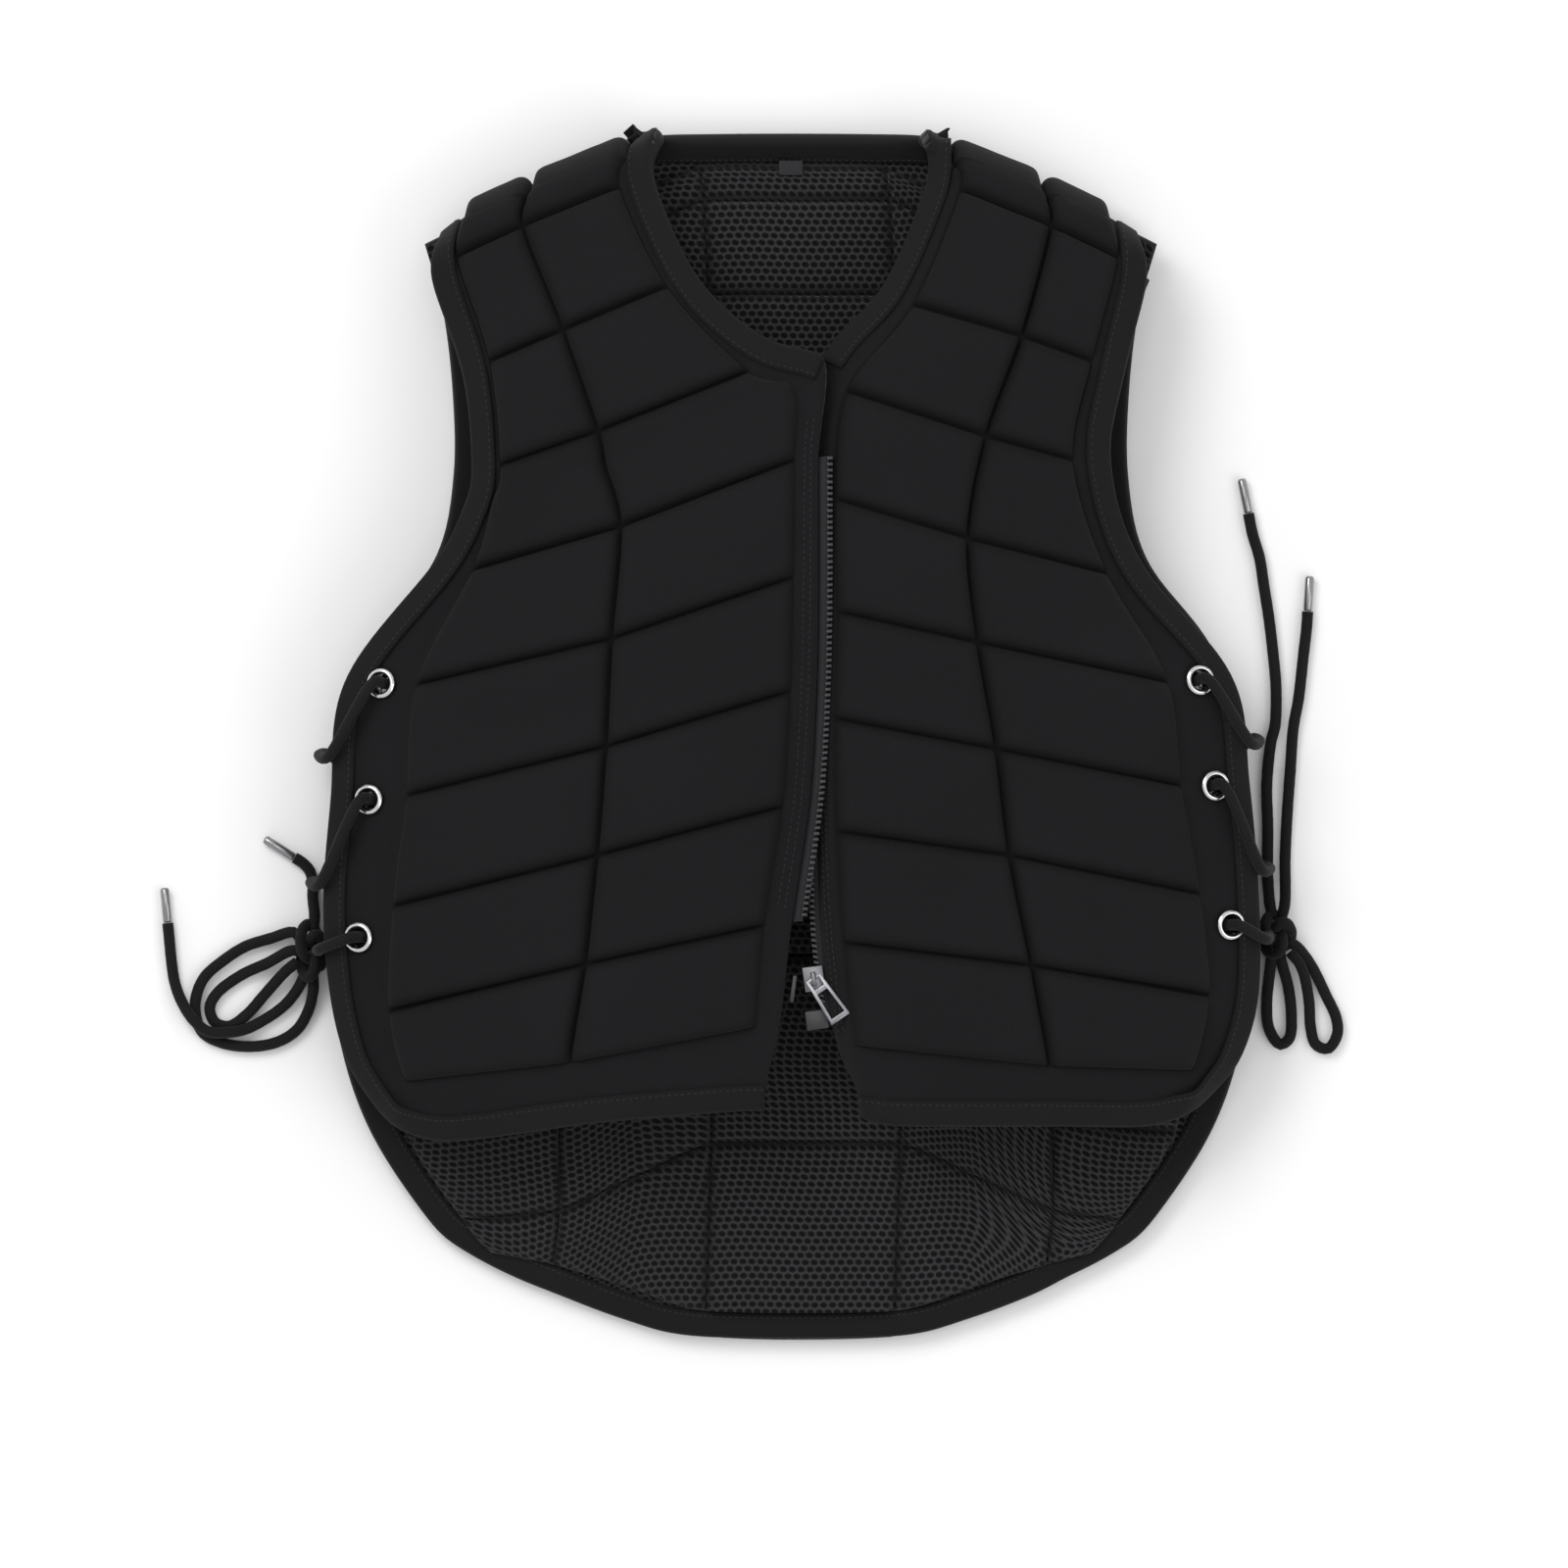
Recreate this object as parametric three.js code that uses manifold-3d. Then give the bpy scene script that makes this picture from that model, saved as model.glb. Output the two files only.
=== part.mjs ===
// Equestrian body protector lying on its back with the front zip undone, in millimetres.
// +Y points to the neck, +Z up through the fronts, +X to the right as seen from above with the
// neck at the top. Left and right in the names are as seen in that view.
// The origin is on the floor below the middle of the vest.

import * as THREE from "three";
import { mergeVertices } from "three/addons/utils/BufferGeometryUtils.js";
import Module from "manifold-3d";

const wasm = await Module();
wasm.setup();

// Overall sizes
const HALF_WIDTH = 225; // middle to side edge at the waist
const LENGTH = 597; // neck to the end of the tail
const CHEST_HEIGHT = 88; // floor to the middle of the front's padding beside the zip
const SIDE_HEIGHT = 38; // floor to the front's side edge
const BACK_CURL = 18.5; // floor to the back's side edge
const FOLD_RADIUS = 20; // bend of the padding over each shoulder
const SEAM_ANGLE = 30; // degrees below the fold where the shoulder seam runs
const FOLD_ANGLES = [10, 50]; // degrees of the rows between the seam and the top of the fold
const FOLD_LEAN = 0.3; // how far the folded rows lean to the side for each length they reach over
const ARCH_POWER = 0.9; // fuller than a plain quarter wave below 1
const CURL_START = 0.55; // share of the back's half width where it starts to curl up

// Padding
const PAD_THICKNESS = 18; // foam tile with its two covers
const EDGE_THICKNESS = 5; // stitched fabric at edges and side bands
const CHANNEL_OUTSIDE = 2.5; // covers over a stitched line, outer side
const CHANNEL_INSIDE = 5; // covers over a stitched line, lining side
const TILE_SLOPE = 3; // width of a tile's rounded shoulder
const LARGEST_SLOPE = 0.35; // largest share of a tile that one of its shoulders takes

// Edge binding
const BINDING_WIDTH = 11;
const BINDING_WALL = 1.6;
const BINDING_CORNER = 0.45; // share of the band's height where its rounded edge starts
const BINDING_ROOM = 0.9; // largest share of the first interval that the band covers
const SLOT_GAP = 0.5; // between the folded binding and the panel in it
const TOUCH_GAP = 0.3; // left round a piece where a neighbour is cut by it

// Separating zip
const TAPE_WIDTH = 3.6;
const TAPE_THICKNESS = 1.2;
const TEETH_WIDTH = 3;
const TEETH_HEIGHT = 3;
const FRONT_OVERLAP_DROP = 8; // how far the right front's zip edge dips under the left one
const RIGHT_FRONT_DROP = 2;
const SLIDER_LENGTH = 12;
const SLIDER_WIDTH = 10;
const SLIDER_PLATE = 1.2;
const BRIDGE_LENGTH = 6.4;
const BRIDGE_WIDTH = 2;
const BRIDGE_THICKNESS = 1;
const BRIDGE_CLEAR = 2.4; // height under the bridge
const PULL_LENGTH = 24;
const PULL_HEAD_WIDTH = 8;
const PULL_END_WIDTH = 10.5;
const PULL_THICKNESS = 1.2;
const PULL_EYE_WIDTH = 5.4;
const PULL_EYE_LENGTH = 5.2;
const PULL_LEAN = 26; // degrees that the pull leans from the zip line
const PULL_TILT = 12; // degrees that its end rests above its axis
const SLIDER_ROOM = 0.9; // between the teeth and the slider's plates
const POST_SIZE = [1.2, 4]; // across and along the zip
const PULL_FRAME = [1.2, 1.5]; // sides of the pull's open frame at its head and at its end
const PULL_BAR = 2.4; // end bars of the open frame
const BOX_SIZE = [11, 9.4, 4];
const BOX_DROP = 1.5; // from the end of the right teeth to the box
const PIN_SIZE = [2, 13, 2];
const PIN_DROP = 0.8; // from the end of the left teeth to the pin
const LEFT_TAPE_FOOT = 0.722; // shares of LENGTH where the parts of the zip end
const RIGHT_TAPE_FOOT = 0.744;
const LEFT_TEETH_FOOT = 0.6985;
const RIGHT_TEETH_FOOT = 0.7272;
const SLIDER_FOOT = 0.704;
const SLIDER_OFFSET = TEETH_WIDTH / 2 + 1.2; // from the right teeth's middle to the slider's

// Eyelets and laces
const EYELET_RADIUS = 8;
const EYELET_BORE = 4.4;
const EYELET_WALL = 0.9;
const EYELET_SIDES = 8;
const LACE_DIAMETER = 5.5;
const LACE_SIDES = 8;
const AGLET_DIAMETER = 4.4;
const AGLET_LENGTH = 17;
const AGLET_SIDES = 8;
const LACE_CLEAR = 0.8; // between a lace and the band that it passes
const LACE_SLACK = 3; // how far a lace stands off the edges that it goes round
const LACE_LEAN = 0.11; // rows that a lace runs down the band from its eyelet
const KNOT_EXIT = [4, 4]; // start of the held lace from the knot's middle, inward and up
const HELD_STEPS = 44;
const FREE_STEPS = 15;
const KNOT_DEPTH = 0.45; // share of the way into a knot where a cord starts

// Size tab
const TAB_SIZE = [11.5, 7, 0.8];
const TAB_PLACE = 0.0405; // share of LENGTH
const TAB_HEIGHT = 19.75; // floor to the middle of the tab

// Colours, roughness and metalness from the photograph
const FABRIC = new THREE.MeshStandardMaterial({ color: 0x1d1c20, roughness: 0.9, metalness: 0 });
const BINDING = new THREE.MeshStandardMaterial({ color: 0x19181b, roughness: 0.75, metalness: 0 });
const TAPE = new THREE.MeshStandardMaterial({ color: 0x222126, roughness: 0.85, metalness: 0 });
const PLASTIC = new THREE.MeshStandardMaterial({ color: 0x151518, roughness: 0.4, metalness: 0 });
const GUNMETAL = new THREE.MeshStandardMaterial({ color: 0x4a4a4e, roughness: 0.35, metalness: 1 });
const NICKEL = new THREE.MeshStandardMaterial({ color: 0xd6d6d8, roughness: 0.2, metalness: 1 });
const LACE = new THREE.MeshStandardMaterial({ color: 0x1b1a1d, roughness: 0.95, metalness: 0 });
const AGLET = new THREE.MeshStandardMaterial({ color: 0x202023, roughness: 0.3, metalness: 0 });

// Front tables. A row is one stitched line across a front, from the shoulder down to the hem.
// Each pair is (across, down): across is a share of HALF_WIDTH from the middle, down is a share
// of LENGTH from the neck. Zip is the share of CHEST_HEIGHT beside the zip, side is the share of
// SIDE_HEIGHT at the outer edge. Kind: pad rows lie inside a tile, flat rows have no foam below.
// kind, inner edge, tile start, column line, tile end, outer edge, zip, side
const LEFT_FRONT = [
  ["line", -0.311, 0.045, -0.366, 0.060, -0.577, 0.092, -0.723, 0.117, -0.770, 0.131, 0.557, 1.289],
  ["line", -0.207, 0.136, -0.262, 0.142, -0.488, 0.177, -0.649, 0.202, -0.696, 0.214, 0.750, 1.470],
  ["line", -0.044, 0.190, -0.085, 0.211, -0.412, 0.259, -0.626, 0.286, -0.677, 0.294, 0.886, 1.520],
  ["pad", 0.070, 0.201, 0.011, 0.226, -0.395, 0.288, -0.643, 0.316, -0.693, 0.317, 0.930, 1.480],
  ["line", 0.059, 0.280, 0.011, 0.282, -0.362, 0.336, -0.685, 0.371, -0.751, 0.362, 0.966, 1.370],
  ["line", 0.059, 0.374, 0.008, 0.377, -0.381, 0.427, -0.805, 0.464, -0.953, 0.461, 0.989, 1.070],
  ["line", 0.055, 0.466, 0.002, 0.469, -0.393, 0.514, -0.827, 0.554, -0.983, 0.556, 1.000, 0.980],
  ["line", 0.040, 0.558, -0.015, 0.562, -0.412, 0.602, -0.856, 0.644, -1.000, 0.644, 0.989, 0.970],
  ["line", 0.002, 0.656, -0.055, 0.658, -0.438, 0.690, -0.865, 0.729, -0.983, 0.720, 0.966, 0.970],
  ["flat", -0.023, 0.736, -0.074, 0.742, -0.471, 0.771, -0.829, 0.787, -0.949, 0.768, 0.932, 1.000],
  ["flat", -0.053, 0.786, -0.091, 0.786, -0.448, 0.795, -0.776, 0.806, -0.907, 0.794, 0.909, 1.030],
  ["flat", -0.057, 0.806, -0.108, 0.806, -0.416, 0.816, -0.742, 0.832, -0.856, 0.818, 0.898, 1.050],
];
const RIGHT_FRONT = [
  ["line", 0.313, 0.046, 0.362, 0.062, 0.560, 0.092, 0.708, 0.118, 0.763, 0.131, 0.557, 1.289],
  ["line", 0.207, 0.144, 0.258, 0.157, 0.495, 0.182, 0.649, 0.202, 0.708, 0.214, 0.750, 1.470],
  ["line", 0.074, 0.202, 0.116, 0.227, 0.416, 0.263, 0.607, 0.282, 0.679, 0.283, 0.886, 1.520],
  ["line", 0.066, 0.310, 0.093, 0.314, 0.376, 0.346, 0.679, 0.374, 0.746, 0.366, 0.955, 1.370],
  ["line", 0.066, 0.402, 0.097, 0.405, 0.397, 0.430, 0.810, 0.462, 0.943, 0.458, 0.989, 1.070],
  ["line", 0.062, 0.490, 0.091, 0.491, 0.436, 0.516, 0.839, 0.546, 0.979, 0.542, 1.000, 0.980],
  ["line", 0.066, 0.581, 0.095, 0.582, 0.465, 0.602, 0.880, 0.634, 1.000, 0.634, 0.989, 0.970],
  ["line", 0.074, 0.670, 0.110, 0.672, 0.512, 0.691, 0.900, 0.716, 1.000, 0.716, 0.966, 0.970],
  ["flat", 0.104, 0.750, 0.140, 0.757, 0.552, 0.774, 0.863, 0.778, 0.962, 0.765, 0.932, 1.000],
  ["flat", 0.150, 0.790, 0.190, 0.795, 0.554, 0.798, 0.810, 0.797, 0.915, 0.787, 0.909, 1.030],
  ["flat", 0.167, 0.811, 0.207, 0.818, 0.554, 0.819, 0.784, 0.819, 0.873, 0.803, 0.898, 1.050],
];
// Rows of the front tables that other pieces follow
const LEFT_CORNER_ROW = 3; // where the neck edge meets the zip edge
const RIGHT_CORNER_ROW = 2;
const EYELET_ROWS = [5.0, 6.02, 7.3]; // on the left front, the right front is one row less
const LAST_EYELET_ROW = EYELET_ROWS[2];
const EYELET_SHARE = 0.5; // from the outer edge to the first tile

// Back table, one half of a panel that is the same on both sides. Middle is the share of
// HALF_WIDTH that the stitched columns shift sideways, band is the share without foam at the side,
// mid and side are shares of PAD_THICKNESS and BACK_CURL above the floor.
// kind, outer edge, outer column, neck corner, inner column, middle, band, mid, side
const BACK_HALF = [
  ["flat", 0.793, 0.104, 0.597, 0.067, 0.334, 0.021, 0.201, 0.018, -0.005, 0.060, 1.06, 1.03],
  ["flat", 0.771, 0.131, 0.579, 0.098, 0.330, 0.056, 0.200, 0.036, 0.000, 0.060, 0.60, 0.70],
  ["line", 0.748, 0.154, 0.545, 0.118, 0.370, 0.092, 0.203, 0.066, 0.012, 0.060, 0.50, 0.70],
  ["line", 0.727, 0.218, 0.538, 0.198, 0.370, 0.171, 0.203, 0.144, 0.022, 0.060, 0.50, 0.70],
  ["line", 0.724, 0.293, 0.535, 0.275, 0.370, 0.248, 0.205, 0.221, 0.030, 0.060, 0.50, 0.76],
  ["line", 0.766, 0.363, 0.535, 0.352, 0.370, 0.325, 0.206, 0.298, 0.032, 0.075, 0.50, 0.85],
  ["line", 0.911, 0.437, 0.535, 0.430, 0.370, 0.402, 0.206, 0.375, 0.032, 0.130, 0.50, 0.98],
  ["line", 0.972, 0.520, 0.535, 0.506, 0.370, 0.479, 0.206, 0.452, 0.032, 0.150, 0.50, 1.00],
  ["line", 0.990, 0.600, 0.535, 0.584, 0.370, 0.557, 0.206, 0.530, 0.032, 0.150, 0.50, 1.00],
  ["line", 0.994, 0.676, 0.535, 0.661, 0.370, 0.634, 0.206, 0.607, 0.032, 0.150, 0.50, 1.00],
  ["line", 0.970, 0.756, 0.535, 0.738, 0.370, 0.711, 0.206, 0.684, 0.032, 0.110, 0.50, 0.86],
  ["line", 0.903, 0.830, 0.535, 0.820, 0.370, 0.790, 0.206, 0.761, 0.032, 0.065, 0.50, 0.54],
  ["line", 0.774, 0.903, 0.535, 0.893, 0.370, 0.865, 0.206, 0.838, 0.032, 0.060, 0.50, 0.38],
  ["flat", 0.710, 0.923, 0.535, 0.938, 0.370, 0.957, 0.206, 0.976, 0.020, 0.060, 0.38, 0.35],
  ["flat", 0.640, 0.938, 0.525, 0.958, 0.370, 0.980, 0.206, 0.994, 0.010, 0.060, 0.34, 0.34],
];
const FIRST_LONG_ROW = 4; // the middle column has a stitched line on every second row from here
const BACK_EYELET_ROWS = [6.4, 7.35, 8.55];

const WELD_DISTANCE = 1e-4;
const CUT_WELD = 2e-3; // points of a cut piece that lie closer than this become one
const CUT_SMOOTH = 3e-3; // and its surface may move by this, to lose needle-thin triangles
const UP = new THREE.Vector3(0, 0, 1);
const radians = THREE.MathUtils.degToRad;

// Cubic through b and c, a share t of the way between them
function smooth(a, b, c, d, t) {
  const bend = 2 * a - 5 * b + 4 * c - d;
  const twist = 3 * (b - c) + d - a;
  return 0.5 * (2 * b + (c - a) * t + bend * t * t + twist * t * t * t);
}

// Value of one column at a fractional row
function columnAt(values, row) {
  const last = values.length - 1;
  const start = Math.min(Math.floor(row), last - 1);
  const pick = (index) => values[Math.min(Math.max(index, 0), last)];
  return smooth(pick(start - 1), pick(start), pick(start + 1), pick(start + 2), row - start);
}

// Positions alone, with equal points merged and empty triangles dropped
function welded(geometry, distance = WELD_DISTANCE) {
  const bare = new THREE.BufferGeometry();
  bare.setAttribute("position", geometry.getAttribute("position").clone());
  if (geometry.getIndex()) bare.setIndex(geometry.getIndex().clone());
  const merged = mergeVertices(bare, distance);
  const index = merged.getIndex().array;
  const kept = [];
  for (let i = 0; i < index.length; i += 3) {
    const [a, b, c] = [index[i], index[i + 1], index[i + 2]];
    if (a !== b && b !== c && c !== a) kept.push(a, b, c);
  }
  merged.setIndex(kept);
  return merged;
}

// Geometry from points and triangles
function closedGeometry(points, faces) {
  const raw = new THREE.BufferGeometry();
  const numbers = points.flatMap((point) => [point.x, point.y, point.z]);
  raw.setAttribute("position", new THREE.Float32BufferAttribute(numbers, 3));
  raw.setIndex(faces.flat());
  return welded(raw);
}

function toSolid(geometry) {
  const clean = welded(geometry);
  const mesh = new wasm.Mesh({
    numProp: 3,
    vertProperties: new Float32Array(clean.getAttribute("position").array),
    triVerts: new Uint32Array(clean.getIndex().array),
  });
  return new wasm.Manifold(mesh);
}

function toGeometry(solid) {
  const mesh = solid.getMesh();
  const geometry = new THREE.BufferGeometry();
  geometry.setAttribute("position", new THREE.BufferAttribute(new Float32Array(mesh.vertProperties), 3));
  geometry.setIndex(new THREE.BufferAttribute(new Uint32Array(mesh.triVerts), 1));
  geometry.computeVertexNormals();
  return geometry;
}

// Cut neighbours out of a piece, and keep the largest body that is left
function cut(geometry, ...neighbours) {
  let solid = toSolid(geometry);
  for (const neighbour of neighbours) solid = solid.subtract(toSolid(neighbour));
  const bodies = solid.decompose();
  bodies.sort((a, b) => b.volume() - a.volume());
  const whole = toSolid(welded(toGeometry(bodies[0]), CUT_WELD));
  return welded(toGeometry(whole.simplify(CUT_SMOOTH)), CUT_WELD);
}

function join(...geometries) {
  let solid = toSolid(geometries[0]);
  for (const geometry of geometries.slice(1)) solid = solid.add(toSolid(geometry));
  return toGeometry(solid);
}

// Two triangles for a four-cornered face, split along its shorter diagonal
function quad(faces, points, a, b, c, d) {
  if (points[a].distanceTo(points[c]) <= points[b].distanceTo(points[d])) {
    faces.push([a, b, c], [a, c, d]);
  } else {
    faces.push([a, b, d], [b, c, d]);
  }
}

// Quilted sheets

// Rows of a front, with the rows that bend over the shoulder put first
function frontRows(table) {
  const seamHeight = PAD_THICKNESS / 2 + FOLD_RADIUS;
  const rows = table.map(([kind, ...numbers]) => ({
    kind,
    across: [0, 2, 4, 6, 8].map((i) => numbers[i] * HALF_WIDTH),
    along: [1, 3, 5, 7, 9].map((i) => (0.5 - numbers[i]) * LENGTH),
    zip: numbers[10] * CHEST_HEIGHT,
    side: numbers[11] * SIDE_HEIGHT,
  }));
  const first = rows[0];
  const lean = Math.sign(first.across[2]) * FOLD_LEAN;
  const bends = [-SEAM_ANGLE, ...FOLD_ANGLES].map((angle, i) => {
    const reach = FOLD_RADIUS * Math.cos(radians(angle));
    const height = seamHeight + FOLD_RADIUS * Math.sin(radians(angle));
    return {
      kind: i === 0 ? "flat" : "pad",
      across: first.across.map((x) => x - lean * reach),
      along: first.along.map((y) => y + reach),
      zip: height,
      side: height,
    };
  });
  return [...bends, ...rows];
}
const FOLD_ROWS = 3;

// Rows of the back, both halves, from the wearer's right side to the left
function backRows() {
  return BACK_HALF.map(([kind, ...n]) => {
    const middle = n[8] * HALF_WIDTH;
    const [edgeX, outerX, neckX, innerX] = [0, 2, 4, 6].map((i) => n[i] * HALF_WIDTH);
    const [edgeY, outerY, neckY, innerY] = [1, 3, 5, 7].map((i) => (0.5 - n[i]) * LENGTH);
    const band = n[9] * HALF_WIDTH;
    const bandY = edgeY + ((outerY - edgeY) * band) / (edgeX - outerX);
    return {
      kind,
      across: [
        -edgeX, -edgeX + band, middle - outerX, middle - neckX, middle - innerX,
        middle + innerX, middle + neckX, middle + outerX, edgeX - band, edgeX,
      ],
      along: [edgeY, bandY, outerY, neckY, innerY, innerY, neckY, outerY, bandY, edgeY],
      zip: n[10] * PAD_THICKNESS,
      side: n[11] * BACK_CURL,
    };
  });
}

// Mesh lines across a table's columns or rows. An interval is "tile" or "flat": a tile gets a
// line at each rounded shoulder, and its own line where the interval before or after is flat.
function meshLines(kinds, intervals) {
  const lines = [];
  kinds.forEach((kind, index) => {
    lines.push({ base: index, shift: 0, kind });
    if (index === kinds.length - 1 || intervals[index] === "flat") return;
    if (kind !== "pad") lines.push({ base: index, shift: 1, kind: "pad" });
    if (kinds[index + 1] !== "pad") lines.push({ base: index, shift: -1, kind: "pad" });
  });
  return lines;
}

// A sheet holds the middle points, the normals and the half thickness on either side
function makeSheet(rows, columnKinds, columnIntervals, height, bridged = () => false) {
  const columnTables = columnKinds.map((_, c) => ({
    x: rows.map((row) => row.across[c]),
    y: rows.map((row) => row.along[c]),
  }));
  const zip = rows.map((row) => row.zip);
  const side = rows.map((row) => row.side);
  const plan = (c, row) => {
    const { x, y } = columnTables[c];
    return new THREE.Vector2(columnAt(x, row), columnAt(y, row));
  };
  const columnCount = columnKinds.length;

  // Row number of a mesh line where it crosses column c
  const rowAt = (line, c) => {
    if (line.shift === 0) return line.base;
    const length = plan(c, line.base).distanceTo(plan(c, line.base + 1));
    const share = Math.min(TILE_SLOPE / length, LARGEST_SLOPE);
    return line.shift > 0 ? line.base + share : line.base + 1 - share;
  };
  const level = (point, row, ends) => {
    const heights = { zip: columnAt(zip, row), side: columnAt(side, row) };
    return height(point, heights, ends);
  };
  const between = (uLine, rowOf) => {
    const start = plan(uLine.base, rowOf(uLine.base));
    if (uLine.shift === 0) return start;
    const end = plan(uLine.base + 1, rowOf(uLine.base + 1));
    const share = Math.min(TILE_SLOPE / start.distanceTo(end), LARGEST_SLOPE);
    return start.lerp(end, uLine.shift > 0 ? share : 1 - share);
  };
  const pointOn = (uLine, rowOf) => {
    const flat = between(uLine, rowOf);
    const ends = [plan(0, rowOf(0)), plan(columnCount - 1, rowOf(columnCount - 1))];
    const row = rowOf(Math.min(uLine.base, columnCount - 1));
    return new THREE.Vector3(flat.x, flat.y, level(flat, row, ends));
  };

  const intervals = rows.map((row, r) => {
    const next = rows[r + 1];
    return next && !(row.kind === "flat" && next.kind === "flat") ? "tile" : "flat";
  });
  const vLines = meshLines(rows.map((row) => row.kind), intervals);
  const uLines = meshLines(columnKinds, columnIntervals);
  const mid = uLines.map((uLine) => vLines.map((vLine) => pointOn(uLine, (c) => rowAt(vLine, c))));

  const around = (points, k) => {
    const next = points[Math.min(k + 1, points.length - 1)];
    return new THREE.Vector3().subVectors(next, points[Math.max(k - 1, 0)]);
  };
  const normal = mid.map((line, i) =>
    line.map((_, j) => {
      const alongU = around(mid.map((other) => other[j]), i);
      return around(line, j).cross(alongU).normalize();
    }),
  );
  const kindAt = (i, j) => {
    const [u, v] = [uLines[i], vLines[j]];
    if (u.kind === "flat" || v.kind === "flat") return "edge";
    if (u.kind === "pad" && (v.kind === "pad" || bridged(u, v))) return "pad";
    return "channel";
  };
  return { uLines, vLines, mid, normal, kindAt };
}

// Half thickness on the outer side and on the lining side
const HALF_THICKNESS = {
  edge: [EDGE_THICKNESS / 2, EDGE_THICKNESS / 2],
  channel: [CHANNEL_OUTSIDE, CHANNEL_INSIDE],
  pad: [PAD_THICKNESS / 2, PAD_THICKNESS / 2],
};

// Closed solid of a sheet. liningUp is true where the lining is on the upper side, and grow makes
// the solid larger all round.
function sheetGeometry(sheet, liningUp, grow = 0) {
  const { mid, normal, kindAt } = sheet;
  const [nu, nv] = [mid.length, mid[0].length];
  const points = [];
  const middles = [...mid.flat(), ...mid.flat()];
  for (const onTop of [true, false]) {
    for (let i = 0; i < nu; i += 1) {
      for (let j = 0; j < nv; j += 1) {
        const half = HALF_THICKNESS[kindAt(i, j)][onTop === liningUp ? 1 : 0] + grow;
        const point = mid[i][j].clone();
        if (grow > 0 && (i === 0 || i === nu - 1)) {
          const inner = mid[i === 0 ? 1 : nu - 2][j];
          point.addScaledVector(point.clone().sub(inner).normalize(), grow);
        }
        if (grow > 0 && (j === 0 || j === nv - 1)) {
          const inner = mid[i][j === 0 ? 1 : nv - 2];
          point.addScaledVector(mid[i][j].clone().sub(inner).normalize(), grow);
        }
        point.addScaledVector(normal[i][j], onTop ? half : -half);
        points.push(point.setZ(Math.max(point.z, -grow)));
      }
    }
  }
  const upper = (i, j) => i * nv + j;
  const lower = (i, j) => nu * nv + i * nv + j;
  const faces = [];
  for (let i = 0; i < nu - 1; i += 1) {
    for (let j = 0; j < nv - 1; j += 1) {
      quad(faces, middles, upper(i, j), upper(i, j + 1), upper(i + 1, j + 1), upper(i + 1, j));
      quad(faces, middles, lower(i, j), lower(i + 1, j), lower(i + 1, j + 1), lower(i, j + 1));
    }
  }
  const wall = (a, b) => quad(faces, points, upper(...a), upper(...b), lower(...b), lower(...a));
  for (let i = 0; i < nu - 1; i += 1) {
    wall([i, 0], [i + 1, 0]);
    wall([i + 1, nv - 1], [i, nv - 1]);
  }
  for (let j = 0; j < nv - 1; j += 1) {
    wall([0, j + 1], [0, j]);
    wall([nu - 1, j], [nu - 1, j + 1]);
  }
  return outward(points, faces);
}

// The same faces turned outward where the solid came out inside out
function outward(points, faces) {
  let volume = 0;
  for (const [a, b, c] of faces) {
    volume += points[a].dot(points[b].clone().cross(points[c]));
  }
  return closedGeometry(points, volume < 0 ? faces.map(([a, b, c]) => [a, c, b]) : faces);
}

// Solid through closed profiles of equal length; contour gives the profile's shape for the end caps
function loft(profiles, contour) {
  const count = contour.length;
  const points = profiles.flat();
  const faces = [];
  for (let k = 0; k < profiles.length - 1; k += 1) {
    for (let i = 0; i < count; i += 1) {
      const next = (i + 1) % count;
      quad(faces, points, k * count + i, k * count + next, (k + 1) * count + next, (k + 1) * count + i);
    }
  }
  const turned = THREE.ShapeUtils.isClockWise(contour) ? 1 : -1;
  const cap = THREE.ShapeUtils.triangulateShape(contour, []);
  const last = (profiles.length - 1) * count;
  for (const [a, b, c] of cap) {
    if (turned > 0) {
      faces.push([a, b, c], [last + a, last + c, last + b]);
    } else {
      faces.push([a, c, b], [last + a, last + b, last + c]);
    }
  }
  return outward(points, faces);
}

// Fronts and back

// A front arches from its side edge up to the zip
function frontHeight(drop) {
  return (point, heights, [zipEnd, sideEnd]) => {
    const share = Math.min(1, point.distanceTo(sideEnd) / zipEnd.distanceTo(sideEnd));
    const arch = Math.sin((share * Math.PI) / 2) ** ARCH_POWER;
    return heights.side + (heights.zip - drop - heights.side) * arch;
  };
}

// The back lies flat and curls up at its sides
function backHeight(point, heights, [leftEnd, rightEnd]) {
  const halfWidth = (rightEnd.x - leftEnd.x) / 2;
  const share = Math.min(1, Math.abs(point.x - leftEnd.x - halfWidth) / halfWidth);
  const curl = Math.max(0, (share - CURL_START) / (1 - CURL_START)) ** 2;
  return heights.zip + (heights.side - heights.zip) * curl;
}

// Put in the binding's seam as a column, BINDING_WIDTH inside the outer edge
function addSeam(rows, edge, inner, insertAt) {
  for (const row of rows) {
    const at = (c) => new THREE.Vector2(row.across[c], row.along[c]);
    const share = Math.min(BINDING_ROOM, BINDING_WIDTH / at(edge).distanceTo(at(inner)));
    const seam = at(edge).lerp(at(inner), share);
    row.across.splice(insertAt, 0, seam.x);
    row.along.splice(insertAt, 0, seam.y);
  }
}

function makeFront(table, drop, dip) {
  const rows = frontRows(table);
  addSeam(rows, 4, 3, 4);
  const sheet = makeSheet(
    rows,
    ["flat", "flat", "line", "flat", "flat", "flat"],
    ["flat", "tile", "tile", "flat", "flat"],
    frontHeight(drop),
  );
  if (dip > 0) {
    sheet.mid[0].forEach((point, j) => {
      if (sheet.vLines[j].base >= FOLD_ROWS) point.z -= dip;
    });
  }
  return sheet;
}

const leftFront = makeFront(LEFT_FRONT, 0, 0);
const rightFront = makeFront(RIGHT_FRONT, RIGHT_FRONT_DROP, FRONT_OVERLAP_DROP);

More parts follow.
